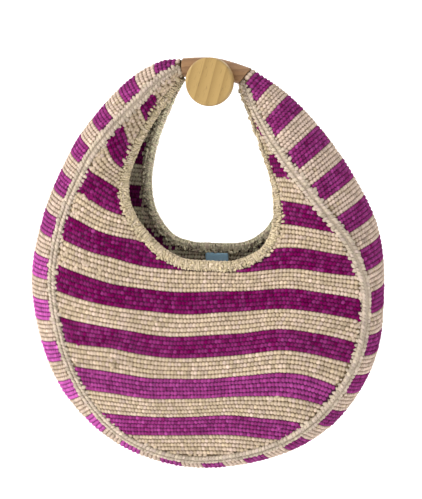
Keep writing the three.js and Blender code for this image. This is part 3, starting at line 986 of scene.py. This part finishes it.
def panelCloth(name, panel, field):
    distance, share = clothGrid(cloth["panelShare"])
    middle = panelPoint(Cut(distance), share, panel.isFront)
    height, _ = field(middle[..., 0], middle[..., 2])
    # past the first and the last stripe the cloth stays natural
    lowest, highest = 0.1 - rows["magenta"], rows["stripes"] * rows["stripe"] - 0.5
    return clothMesh(name, middle, np.clip(height, lowest, highest))


def stripCloth(name):
    distance, share = clothGrid(cloth["stripShare"])
    cut = Cut(distance)
    return clothMesh(name, stripPoint(cut, share * cut.openAngle), stripLevels(distance))


def loftMesh(name, loops, material, crown):
    # closed skin over loops of points, with flat ends
    count, corners = loops.shape[:2]
    index = np.arange(count * corners).reshape(count, corners)
    following = np.roll(index, -1, axis=1)
    quads = np.stack([index[:-1], index[1:], following[1:], following[:-1]], -1).reshape(-1, 4)
    first, last = count * corners, count * corners + 1
    caps = [(first, a, b) for a, b in zip(index[0], following[0])]
    caps += [(last, b, a) for a, b in zip(index[-1], following[-1])]
    points = np.concatenate([loops.reshape(-1, 3), loops[:1].mean(1), loops[-1:].mean(1)])
    ring, corner = np.meshgrid(np.arange(count - 1), np.arange(corners), indexing="ij")
    quadUvs = np.stack([np.stack([ring + i, corner + k], -1)
                        for i, k in ((0, 0), (1, 0), (1, 1), (0, 1))], 2)
    uvs = np.concatenate([quadUvs.reshape(-1, 2) / (1, corners), np.zeros((len(caps) * 3, 2))])
    # crown, one value for the skin and 0.2 at the cap middles: below 1 the yarn dye paints in the Deep colour as shade
    values = {"crown": np.append(np.full(count * corners, crown), [0.2, 0.2]),
              "tone": np.full(len(points), 0.5), "tint": np.full(len(points), 0.3)}
    return addMesh(name, points, quads, caps, material, uvs, values)


class Rail:
    # places and ways along one seam or rim
    def __init__(self, distance, isFront, isRim):
        cut, lower, upper = Cut(distance), Cut(distance - 0.5), Cut(distance + 0.5)
        place = lambda one: one.rim(isFront) if isRim else one.seam(isFront)
        self.at, self.scale = place(cut), cut.scale
        self.along = unit(place(upper) - place(lower))
        side = toFront if isFront else -toFront
        square = lambda way: unit(way - self.along * dot(way, self.along))
        length = np.linalg.norm(cut.rim(isFront) - cut.seam(isFront), axis=-1)
        if isRim:
            half = bag["rimWidth"] / 2 * cut.scale
            self.ontoPanel = square(panelPoint(cut, half / length, isFront) - self.at)
            face = square(np.broadcast_to(side, self.at.shape))
            self.face = unit(face - self.ontoPanel * dot(face, self.ontoPanel))
            return
        reach = bag["seamReach"] * cut.scale
        angle = (cut.openAngle - reach / cut.radius) * (-1 if isFront else 1)
        self.ontoPanel = square(panelPoint(cut, 1 - reach / length, isFront) - self.at)
        self.ontoStrip = square(stripPoint(cut, angle) - self.at)
        self.out = square(side + cut.arch)

    def lift(self, way):
        return unit(self.out - way * dot(self.out, way))


def railSpots(isFront, isRim, pitch, phase=0.0):
    # places in even steps along a seam or rim
    distance = np.linspace(0, seamLength, 3000)
    cut = Cut(distance)
    lengths = runLengths(cut.rim(isFront) if isRim else cut.seam(isFront))
    at = np.arange(pitch * (0.5 + phase), lengths[-1] - pitch * 0.3, pitch)
    return Rail(np.interp(at, lengths, distance), isFront, isRim)


# Seams: two ridges of slanted stitches either side of a shallow groove
seams = {
    "pitch": 3.8, "coreSteps": 300, "endGap": 0.2,
    # the body under the ridges: shares of the reach, heights over the seam, and its crown, which paints it
    # partly in the Deep colour as shade in the seam's groove
    "core": {"reach": 0.96, "crest": 0.6, "groove": 0.25, "foot": -1.2, "shoulder": 0.9, "rise": 1.9,
             "dip": 0.4, "back": -2.0, "crown": 0.7},
    "ridge": {"spread": 0.08, "toneSpread": 0.12, "swing": 10, "slide": 0.3, "rings": [
        (-2.7, -1.9, -0.6, 0, 0), (-1.9, -1.4, 0.4, 1.2, 1.2), (-0.6, -0.5, 0.9, 2.0, 1.6),
        (0.7, 0.5, 0.85, 2.0, 1.6), (1.8, 1.4, 0.3, 1.2, 1.1), (2.6, 1.9, -0.6, 0, 0)]},
    "ridgePlace": 0.54, "ridgeRise": 1.1,
}


def seamPiece(name, isFront, node):
    rail = Rail(np.linspace(seams["endGap"], seamLength - seams["endGap"], seams["coreSteps"]),
                isFront, False)
    scale, core = rail.scale[:, None], seams["core"]
    reach = bag["seamReach"] * scale
    flank = [(core["reach"], core["foot"]), (core["reach"], core["shoulder"]),
             (core["crest"], core["rise"]), (core["groove"], core["rise"])]
    panelSide, stripSide = ([rail.at + way * reach * along + rail.lift(way) * rise * scale
                             for along, rise in flank] for way in (rail.ontoPanel, rail.ontoStrip))
    middle = lambda rise: rail.at + rail.out * rise * scale
    loop = np.stack([*panelSide, middle(core["rise"] - core["dip"]), *stripSide[::-1],
                     middle(core["back"])], 1)
    parts = [loftMesh(name + "_core", loop[:, ::-1] if isFront else loop, seamYarn, core["crown"])]
    for way, phase in (("ontoPanel", 0.0), ("ontoStrip", 0.5)):
        spot = railSpots(isFront, False, seams["pitch"], phase)
        onto = getattr(spot, way)
        lift = spot.lift(onto)
        at = spot.at + (onto * bag["seamReach"] * seams["ridgePlace"]
                        + lift * seams["ridgeRise"]) * spot.scale[:, None]
        parts.append(beadsAt(name + "_" + way, at, spot.along, lift, seams["ridge"], seamYarn,
                             scale=spot.scale))
    return enter(joined(name, parts), "natural_yarn", node)


# Rims: posts wrapped across a flat band, curls of yarn on its face, and a chain along the hole's edge
rims = {
    # coreCrown: the core between the posts takes mostly the Deep colour, painted shade; postCrown lessens the posts'
    # painted shade
    "coreSteps": 240, "coreShare": 0.84, "coreCrown": 0.15, "endGap": 0.2,
    "cut": [(-1, -0.4), (-1, 0.4), (-0.5, 1), (0.5, 1), (1, 0.5), (1, -0.5), (0.5, -1), (-0.5, -1)],
    "postPitch": 2.3, "postCrown": 0.1,
    "post": {"crosswise": True, "spread": 0.05, "toneSpread": 0.12, "swing": 5, "slide": 0.25, "rings": [
        (-0.5, 4.2, -0.5, 0, 0), (-0.4, 4.8, 1.0, 1.0, 0.8), (-0.2, 2.8, 2.5, 1.25, 0.95),
        (0.0, 0.0, 2.8, 1.2, 0.95), (0.2, -2.5, 2.4, 1.25, 0.95), (0.4, -4.1, 0.9, 1.15, 0.85),
        (0.4, -4.1, -0.9, 1.15, 0.85), (0.2, -2.5, -2.4, 1.25, 0.95), (0.0, 0.0, -2.8, 1.2, 0.95),
        (-0.3, 2.6, -2.4, 1.2, 0.9), (-0.5, 4.0, -0.9, 0.8, 0.7), (-0.5, 3.6, 0.3, 0, 0)]},
    "curlPitch": 2.8, "curlPlaces": (-0.45, 0.0, 0.45, 0.9),
    "curl": {"spread": 0.2, "toneSpread": 0.16, "swing": 60, "slide": 0.7, "rings": [
        (-1.7, 0, 1.5, 0, 0), (-1.2, 0, 2.4, 0.85, 0.8), (-0.4, 0.3, 2.85, 1.05, 0.95),
        (0.5, 0.3, 2.85, 1.0, 0.95), (1.2, 0, 2.4, 0.85, 0.8), (1.7, 0, 1.5, 0, 0)]},
    "chainPitch": 4.4, "chainInset": 0.7, "chainTone": 0.55,
    "chain": {"spread": 0.07, "toneSpread": 0.06, "swing": 5, "slide": 0.2, "rings": [
        (-3.1, 0.2, -0.4, 0, 0), (-2.0, 0.1, 0.1, 1.0, 0.8), (-0.4, 0, 0.35, 1.5, 1.1),
        (1.1, -0.1, 0.3, 1.4, 1.05), (2.3, -0.1, 0.0, 0.9, 0.7), (3.1, 0, -0.5, 0, 0)]},
}


def rimPiece(name, isFront, node):
    # the back rim takes the inner yarn, painted for the light inside the bag
    yarn, half = edgeYarn if isFront else insideShadeYarn, bag["rimWidth"] / 2
    rail = Rail(np.linspace(rims["endGap"], seamLength - rims["endGap"], rims["coreSteps"]), isFront, True)
    halfWidth, halfDepth = half * rims["coreShare"], bag["rimDepth"] / 2 * rims["coreShare"]
    loop = np.stack([rail.at + (rail.ontoPanel * across * halfWidth + rail.face * deep * halfDepth)
                     * rail.scale[:, None] for across, deep in rims["cut"]], 1)
    parts = [loftMesh(name + "_core", loop[:, ::-1] if isFront else loop, yarn, rims["coreCrown"])]
    spot = railSpots(isFront, True, rims["postPitch"])
    # a post's third way, across, points onto the panel
    flip = np.sign(dot(np.cross(spot.face, spot.along), spot.ontoPanel))
    parts.append(beadsAt(name + "_posts", spot.at, spot.along * flip, spot.face, rims["post"], yarn,
                         scale=spot.scale, crownFloor=rims["postCrown"]))
    for i, share in enumerate(rims["curlPlaces"]):
        spot = railSpots(isFront, True, rims["curlPitch"], i / 3)
        at = spot.at + spot.ontoPanel * (share * half * spot.scale)[:, None]
        # curls lie on the side that is seen from the front
        parts.append(beadsAt(f"{name}_curls{i}", at, spot.along, spot.face * (1 if isFront else -1),
                             rims["curl"], yarn, scale=spot.scale))
    edge = railSpots(isFront, True, rims["chainPitch"])
    at = edge.at - edge.ontoPanel * (half - rims["chainInset"]) * edge.scale[:, None]
    parts.append(beadsAt(name + "_chain", at, edge.along, -edge.ontoPanel, rims["chain"], yarn,
                         tone=rims["chainTone"], scale=edge.scale))
    return enter(joined(name, parts), "natural_yarn", node)


# Natural teeth where the rows end, over the edges of the rims and seams
toothForms = {
    "rim": {"spread": 0.2, "toneSpread": 0.12, "swing": 16, "slide": 0.5, "rings": [
        (-1.5, 0, 0.2, 0, 0), (-0.6, 0, 0.6, 1.4, 1.3), (1.0, 0, 0.8, 1.7, 1.5),
        (2.6, 0, 0.6, 1.4, 1.3), (3.8, 0, 0.2, 0.8, 0.7), (4.3, 0, 0, 0, 0)]},
    "seam": {"spread": 0.22, "toneSpread": 0.12, "swing": 18, "slide": 0.5, "rings": [
        (-1.8, 0, 0.2, 0, 0), (-0.9, 0, 0.7, 1.5, 1.4), (0.4, 0, 0.8, 1.9, 1.5),
        (1.9, 0, 0.4, 1.5, 1.2), (2.9, 0, 0.1, 0.8, 0.7), (3.5, 0, -0.2, 0, 0)]},
}


# Wood
woods = {
    "bar": {"radius": 9.7, "tenonRadius": 5.2, "tenonLength": 8, "shoulderRound": 0.8, "shoulderGap": 0.95,
            "archPoints": [(-16, 0.4), (0, 0), (17, -3.9)], "restZ": 14.5,
            "sides": 48, "steps": 70, "roundSteps": 6, "endSkip": 3,
            "pale": (0.585, 0.445, 0.30), "dark": (0.46, 0.33, 0.21),
            "bands": 150, "warp": 0.8, "tilt": 4},
    "peg": {"discRadius": 24.5, "discThickness": 12, "discFrontY": -94, "edgeRound": 2.5, "roundSteps": 8,
            "discSides": 96, "stemRadius": 4.5, "stemBevel": 0.3, "stemRingY": -30, "stemSides": 32,
            "clearance": 0.3,  # between the disc and the stem
            "pale": (0.67, 0.555, 0.335), "dark": (0.54, 0.43, 0.23),
            "bands": 88, "warp": 0.5, "tilt": 74},
    "grain": {"warpScale": 60, "fibreScale": 1600, "fleckScale": 1100, "fleckLeast": 0.68,
              "longShare": 0.12, "thinShare": 0.04, "lateRise": 2.2, "earlyFade": 14.0,
              "bandDepth": 0.75, "fibreDepth": 0.35, "fleckDepth": 0.3, "gloss": 0.4},
}


def makeWoodGrain():
    # broad growth bands, fine fibres along the grain and small dark flecks
    tree, given, result = shaderGroup(
        "woodGrain",
        [("Vector", "NodeSocketVector", (0, 0, 0)), ("Bands", "NodeSocketFloat", 1.0),
         ("Warp", "NodeSocketFloat", 1.0)],
        [("Bands", "NodeSocketFloat"), ("Fibres", "NodeSocketFloat"), ("Flecks", "NodeSocketFloat")])
    look = woods["grain"]
    x, y, z = splitVector(tree, given["Vector"])
    long, thin = (joinVector(tree, calculate(tree, "MULTIPLY", x, look[share]), y, z)
                  for share in ("longShare", "thinShare"))
    warp = calculate(tree, "MULTIPLY", noise(tree, long, look["warpScale"], 2), given["Warp"])
    across = calculate(tree, "MULTIPLY", z, given["Bands"])
    phase = calculate(tree, "FRACT", calculate(tree, "ADD", across, warp))
    # each band darkens slowly and ends sharply
    late = calculate(tree, "POWER", phase, look["lateRise"])
    early = calculate(tree, "MULTIPLY", phase, look["earlyFade"], clamp=True)
    fade = calculate(tree, "SUBTRACT", 1.0, early)
    flecks = noise(tree, long, look["fleckScale"], 1)
    wire(tree, calculate(tree, "MAXIMUM", late, fade), result["Bands"])
    wire(tree, noise(tree, thin, look["fibreScale"], 3, 0.6), result["Fibres"])
    wire(tree, calculate(tree, "GREATER_THAN", flecks, look["fleckLeast"]), result["Flecks"])
    return tree


woodGrain = makeWoodGrain()


def makeWood(name, look):
    material, tree, shader = newMaterial(name)
    turned = put(tree, "ShaderNodeMapping", {
        "Vector": objectPlace(tree), "Rotation": (0, math.radians(look["tilt"]), 0)}).outputs[0]
    grain = placeGroup(tree, woodGrain, {"Vector": turned, "Bands": look["bands"], "Warp": look["warp"]})
    fibres = calculate(tree, "MULTIPLY_ADD", grain["Fibres"], 0.8, -0.25, clamp=True)
    colour, depth, dark = toLinear(look["pale"]), woods["grain"], toLinear(look["dark"])
    fleck = toLinear([c * 0.6 for c in look["dark"]])
    for mask, kind, shade in ((grain["Bands"], "bandDepth", dark), (fibres, "fibreDepth", dark),
                              (grain["Flecks"], "fleckDepth", fleck)):
        colour = mixColour(tree, calculate(tree, "MULTIPLY", mask, depth[kind]), colour, shade)
    feed(tree, shader, {
        "Base Color": colour, "Specular IOR Level": depth["gloss"],
        "Roughness": calculate(tree, "MULTIPLY_ADD", grain["Fibres"], 0.2, 0.38)})
    setBump(tree, shader, grain["Fibres"], 0.0002, 0.25)
    return material


barWood, pegWood = makeWood("barWood", woods["bar"]), makeWood("pegWood", woods["peg"])


def centripetal(points, count):
    # even steps of the parameter through the given points, rounded between them
    points = np.array([2 * points[0] - points[1], *points, 2 * points[-1] - points[-2]])
    gaps = np.sqrt(np.linalg.norm(np.diff(points, axis=0), axis=1))
    found = []
    for share in np.linspace(0, len(points) - 3, count):
        i = min(int(share), len(points) - 4)
        t, (a, b, c, d), (low, mid, high) = share - i, points[i:i + 4], gaps[i:i + 3]
        start = ((b - a) / low - (c - a) / (low + mid) + (c - b) / mid) * mid
        end = ((c - b) / mid - (d - b) / (mid + high) + (d - c) / high) * mid
        found.append(b + start * t + (3 * (c - b) - 2 * start - end) * t ** 2
                     + (2 * (b - c) + start + end) * t ** 3)
    return np.array(found)


def barPiece():
    bar = woods["bar"]
    radius, gap, roundness, skip = bar["radius"], bar["shoulderGap"], bar["shoulderRound"], bar["endSkip"]
    ends = Cut(np.array([0.0, seamLength]))
    tips = ends.frontSeam + ends.across * ends.half[:, None]
    sign = np.array([-1.0, 1.0])
    ways = np.stack([sign * ends.outward[:, 2], 0 * sign, -sign * ends.outward[:, 0]], -1)
    line = centripetal([tips[0], *[np.array([x, bag["middleY"], bar["restZ"] + rise])
                                   for x, rise in bar["archPoints"]], tips[1]], bar["steps"])
    # the bar ends in a rounded shoulder just short of the crochet, and a tenon goes on into it
    ending = [(bar["tenonLength"], bar["tenonRadius"]), (-gap, bar["tenonRadius"])]
    ending += [(-gap - roundness * (1 - math.cos(a)), radius - roundness * (1 - math.sin(a)))
               for a in np.linspace(0, math.pi / 2, bar["roundSteps"])]
    rings = [(tips[0] + ways[0] * reach, -ways[0], size) for reach, size in ending]
    rings += [(place, way, radius)
              for place, way in zip(line[skip:-skip], unit(np.gradient(line, axis=0))[skip:-skip])]
    rings += [(tips[1] + ways[1] * reach, ways[1], size) for reach, size in ending[::-1]]
    angle = 2 * np.pi * (np.arange(bar["sides"]) + 0.5)[:, None] / bar["sides"]
    loops = [place + size * (toFront * np.cos(angle) + np.array([-way[2], 0, way[0]]) * np.sin(angle))
             for place, way, size in rings]
    return enter(loftMesh("handleBar", np.array(loops), barWood, 1.0), "bar_wood", "handle_bar")


def turned(name, profile, material, sides):
    # solid turned about the Y axis, from pairs of radius and place along Y
    angle = 2 * np.pi * np.arange(sides) / sides
    loops = np.array([np.stack([radius * np.cos(angle), 0 * angle + y, radius * np.sin(angle)], -1)
                      for radius, y in profile])
    return loftMesh(name, loops, material, 1.0)


def pegPieces():
    peg = woods["peg"]
    front, back = peg["discFrontY"], peg["discFrontY"] + peg["discThickness"]
    inner, edge = peg["discRadius"] - peg["edgeRound"], peg["edgeRound"]
    arc = np.linspace(0, math.pi / 2, peg["roundSteps"])
    profile = [(inner * share, front) for share in (0.1, 0.5)]
    profile += [(inner + edge * math.sin(a), front + edge * (1 - math.cos(a))) for a in arc]
    profile += [(inner + edge * math.cos(a), back - edge * (1 - math.sin(a))) for a in arc]
    profile += [(inner * share, back) for share in (0.5, 0.1)]
    enter(turned("pegDisc", profile, pegWood, peg["discSides"]), "peg_wood", "peg_disc")
    stemFront, radius, bevel = back + peg["clearance"], peg["stemRadius"], peg["stemBevel"]
    profile = [(radius * 0.2, stemFront), (radius - bevel, stemFront), (radius, stemFront + bevel),
               (radius, peg["stemRingY"]), (radius, -bevel), (radius - bevel, 0), (radius * 0.2, 0)]
    enter(turned("pegStem", profile, pegWood, peg["stemSides"]), "peg_wood", "peg_stem")


# Label, a small bare cloth sewn inside under the back rim
label = {
    "width": 26, "height": 16, "thickness": 1, "at": (-4, -30.3, -198), "lean": 11,
    "steps": (26, 16), "puff": 0.35,
    "cloth": (0.64, 0.84, 0.93), "weft": (0.74, 0.91, 0.99), "weave": 9000,
}


def makeLabelCloth():
    material, tree, shader = newMaterial("labelCloth")
    place = objectPlace(tree)
    x, _, z = splitVector(tree, place)
    wave = lambda way: calculate(tree, "SINE", calculate(tree, "MULTIPLY", way, label["weave"]))
    weave = calculate(tree, "MULTIPLY_ADD", calculate(tree, "MULTIPLY", wave(x), wave(z)), 0.5, 0.5)
    cloud = calculate(tree, "MULTIPLY", noise(tree, place, 300, 3), 0.5)
    share = calculate(tree, "MULTIPLY_ADD", weave, 0.5, cloud)
    feed(tree, shader, {
        "Base Color": mixColour(tree, share, toLinear(label["cloth"]), toLinear(label["weft"])),
        "Roughness": 0.85, "Sheen Weight": 0.1})
    setBump(tree, shader, weave, 0.0001, 0.4)
    return material


def labelPiece():
    across, down = label["steps"]
    u, v = np.meshgrid(np.linspace(-1, 1, across + 1), np.linspace(-1, 1, down + 1), indexing="ij")
    edge = np.maximum(np.abs(u) ** 6, np.abs(v) ** 6)
    puff = label["puff"] * (1 - edge) * (0.6 + 0.4 * np.cos(2.2 * u) * np.cos(1.5 * v))
    half = label["thickness"] / 2 * (1 - 0.3 * edge)
    lean = math.radians(label["lean"])
    right, out = np.array([1.0, 0, 0]), np.array([0, -math.cos(lean), -math.sin(lean)])
    middle = np.array(label["at"]) + (right * (u * label["width"] / 2)[..., None]
                                      + np.cross(right, out) * (v * label["height"] / 2)[..., None])
    under, over = (middle + out * rise[..., None] for rise in (-half, half + puff))
    piece = sheetMesh("label_cloth", under, over, makeLabelCloth())
    enter(piece, "label_cloth", "label")
    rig.sheet(piece, flat=(label["width"] * mm, label["height"] * mm), held="stretched",
             rests_on=["back_panel_cloth"])


# Everything is put together
frontRows, backRows = frontField(), backField()
frontSpots = fillBare(frontPanel, frontRows, panelRows(frontPanel, frontRows))
print("front panel stitches:", len(frontSpots.at))
backSpots = fillBare(backPanel, backRows, panelRows(backPanel, backRows))
print("back panel stitches:", len(backSpots.at))
stripSpots = stripRows()
print("side strip stitches:", len(stripSpots.at))

stitched = {
    "front_panel": {"spots": frontSpots, "stripes": rows["stripes"], "yarn": naturalYarn,
                    "form": plainStitch, "tint": 0.3},
    "back_panel": {"spots": backSpots, "stripes": rows["stripes"], "yarn": insideShadeYarn,
                   "form": backStitch, "tint": 0.3},
    "side_strip": {"spots": stripSpots, "stripes": rows["stripBlocks"][-1] + 1, "yarn": naturalYarn,
                   "form": plainStitch, "tint": 0.9},
}
pieces = {}
for name, look in stitched.items():
    spots = look["spots"]
    magenta = isMagenta(spots.row, look["stripes"])
    if name == "back_panel":
        toRim = np.array([backPanel.rimTree.find(place)[2] for place in spots.at])
        magenta &= toRim > innerMargin["clear"] + dice.normal(0, innerMargin["ragged"], len(toRim))
    natural, coloured = spots.pick(~magenta), spots.pick(magenta)
    if name == "side_strip":
        # painted light on the side strip: paler magenta by distance along the seam
        along = np.arange(seamLength)
        paleness = np.interp(np.interp(coloured.row + 0.5, stripLevels(along), along),
                          stripPaintedLight["at"], stripPaintedLight["share"])
    else:
        paleness = np.take(stripePaleness, (coloured.row // rows["stripe"]).astype(int))
    pieces[name] = [
        enter(stitchesAt(name + "_natural", natural, look["form"], look["yarn"], look["tint"]),
              "natural_yarn"),
        enter(stitchesAt(name + "_magenta", coloured, look["form"], magentaYarn, paleness,
                         tintSpread=0.07),
              "magenta_yarn")]
print("stitches are made")

frontCloth = panelCloth("front_panel_cloth", frontPanel, frontRows)
backCloth = panelCloth("back_panel_cloth", backPanel, backRows)
sideCloth = stripCloth("side_strip_cloth")
seamPiece("frontSeam", True, "front_seam")
seamPiece("backSeam", False, "back_seam")
rimPiece("frontRim", True, "front_rim")
rimPiece("backRim", False, "back_rim")
for edge, yarn in (("rim", edgeYarn), ("seam", seamYarn)):
    ends = np.array(teeth[edge])
    enter(beadsAt(edge + "_teeth", ends[:, :3], ends[:, 3:6], ends[:, 6:], toothForms[edge], yarn),
          "natural_yarn")
for sheet, name, node, slot, kind, edge in (
        (frontCloth, "front_panel", "front_panel", "magenta_yarn", "panel", "frontRim"),
        (backCloth, "back_panel", "back_panel", "magenta_yarn", "panel", "backRim"),
        (sideCloth, "side_strip", "gusset", "natural_yarn", "strip", "frontSeam")):
    enter(sheet, slot, node)
    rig.sheet(sheet, flat=cloth[kind + "Flat"], held="hung", area=cloth[kind + "Area"],
             rests_on=[edge], with_pieces=pieces[name])
barPiece()
pegPieces()
labelPiece()
print("cloths, seams, rims, wood and label are made")

# Stage and light
stage = {
    "floorZ": -0.62, "wallY": 1.6, "round": 0.5, "halfWidth": 5, "front": -5, "top": 4,
    "colour": (0.93, 0.93, 0.93), "pale": (0.91, 0.91, 0.91), "world": 0.55, "glow": 0.5,
    "skyColour": (0.90, 0.91, 1.0), "lampColour": (1.0, 0.96, 0.91), "aim": (0, -0.07, -0.2),
    "lamps": [((-1.8, -1.1, 0.7), 1.1, 44), ((1.5, -1.5, 0.7), 1.6, 13),  # place, size, power
              ((0.3, -0.6, 1.9), 1.2, 11)],
}


def makeStage():
    arc = np.linspace(0, math.pi / 2, 13)
    line = [(stage["front"], stage["floorZ"])]
    line += [(stage["wallY"] - stage["round"] * (1 - math.sin(a)),
              stage["floorZ"] + stage["round"] * (1 - math.cos(a))) for a in arc]
    line += [(stage["wallY"], stage["top"])]
    points = np.array([(x, y, z) for y, z in line for x in (-stage["halfWidth"], stage["halfWidth"])]) / mm
    quads = [(2 * i, 2 * i + 1, 2 * i + 3, 2 * i + 2) for i in range(len(line) - 1)]
    material, tree, shader = newMaterial("backdropPaper")
    cloud = noise(tree, objectPlace(tree), 3)
    feed(tree, shader, {
        "Base Color": mixColour(tree, cloud, toLinear(stage["colour"]), toLinear(stage["pale"])),
        "Roughness": 0.9, "Emission Color": (1, 1, 1, 1), "Emission Strength": stage["glow"]})
    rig.stage(addMesh("backdrop", points, quads, [], material))
    for i, (place, size, power) in enumerate(stage["lamps"]):
        data = bpy.data.lights.new(f"softLamp{i}", "AREA")
        data.size, data.energy, data.color = size, power, stage["lampColour"]
        lamp = bpy.data.objects.new(f"softLamp{i}", data)
        lamp.location = place
        lamp.rotation_mode = "QUATERNION"
        lamp.rotation_quaternion = (Vector(stage["aim"]) - Vector(place)).to_track_quat("-Z", "Y")
        bpy.context.scene.collection.objects.link(lamp)
    world = bpy.data.worlds.new("softSky")
    world.use_nodes = True
    sky = world.node_tree.nodes["Background"].inputs
    sky["Color"].default_value = (*stage["skyColour"], 1)
    sky["Strength"].default_value = stage["world"]
    bpy.context.scene.world = world
    bpy.context.scene.view_settings.view_transform = "Standard"


makeStage()
print("stage and lamps are set")

json.dump({"cad": [list(corner) for corner in cadBox], "visual": [list(corner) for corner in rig.bounds()]},
          open("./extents.json", "w"))
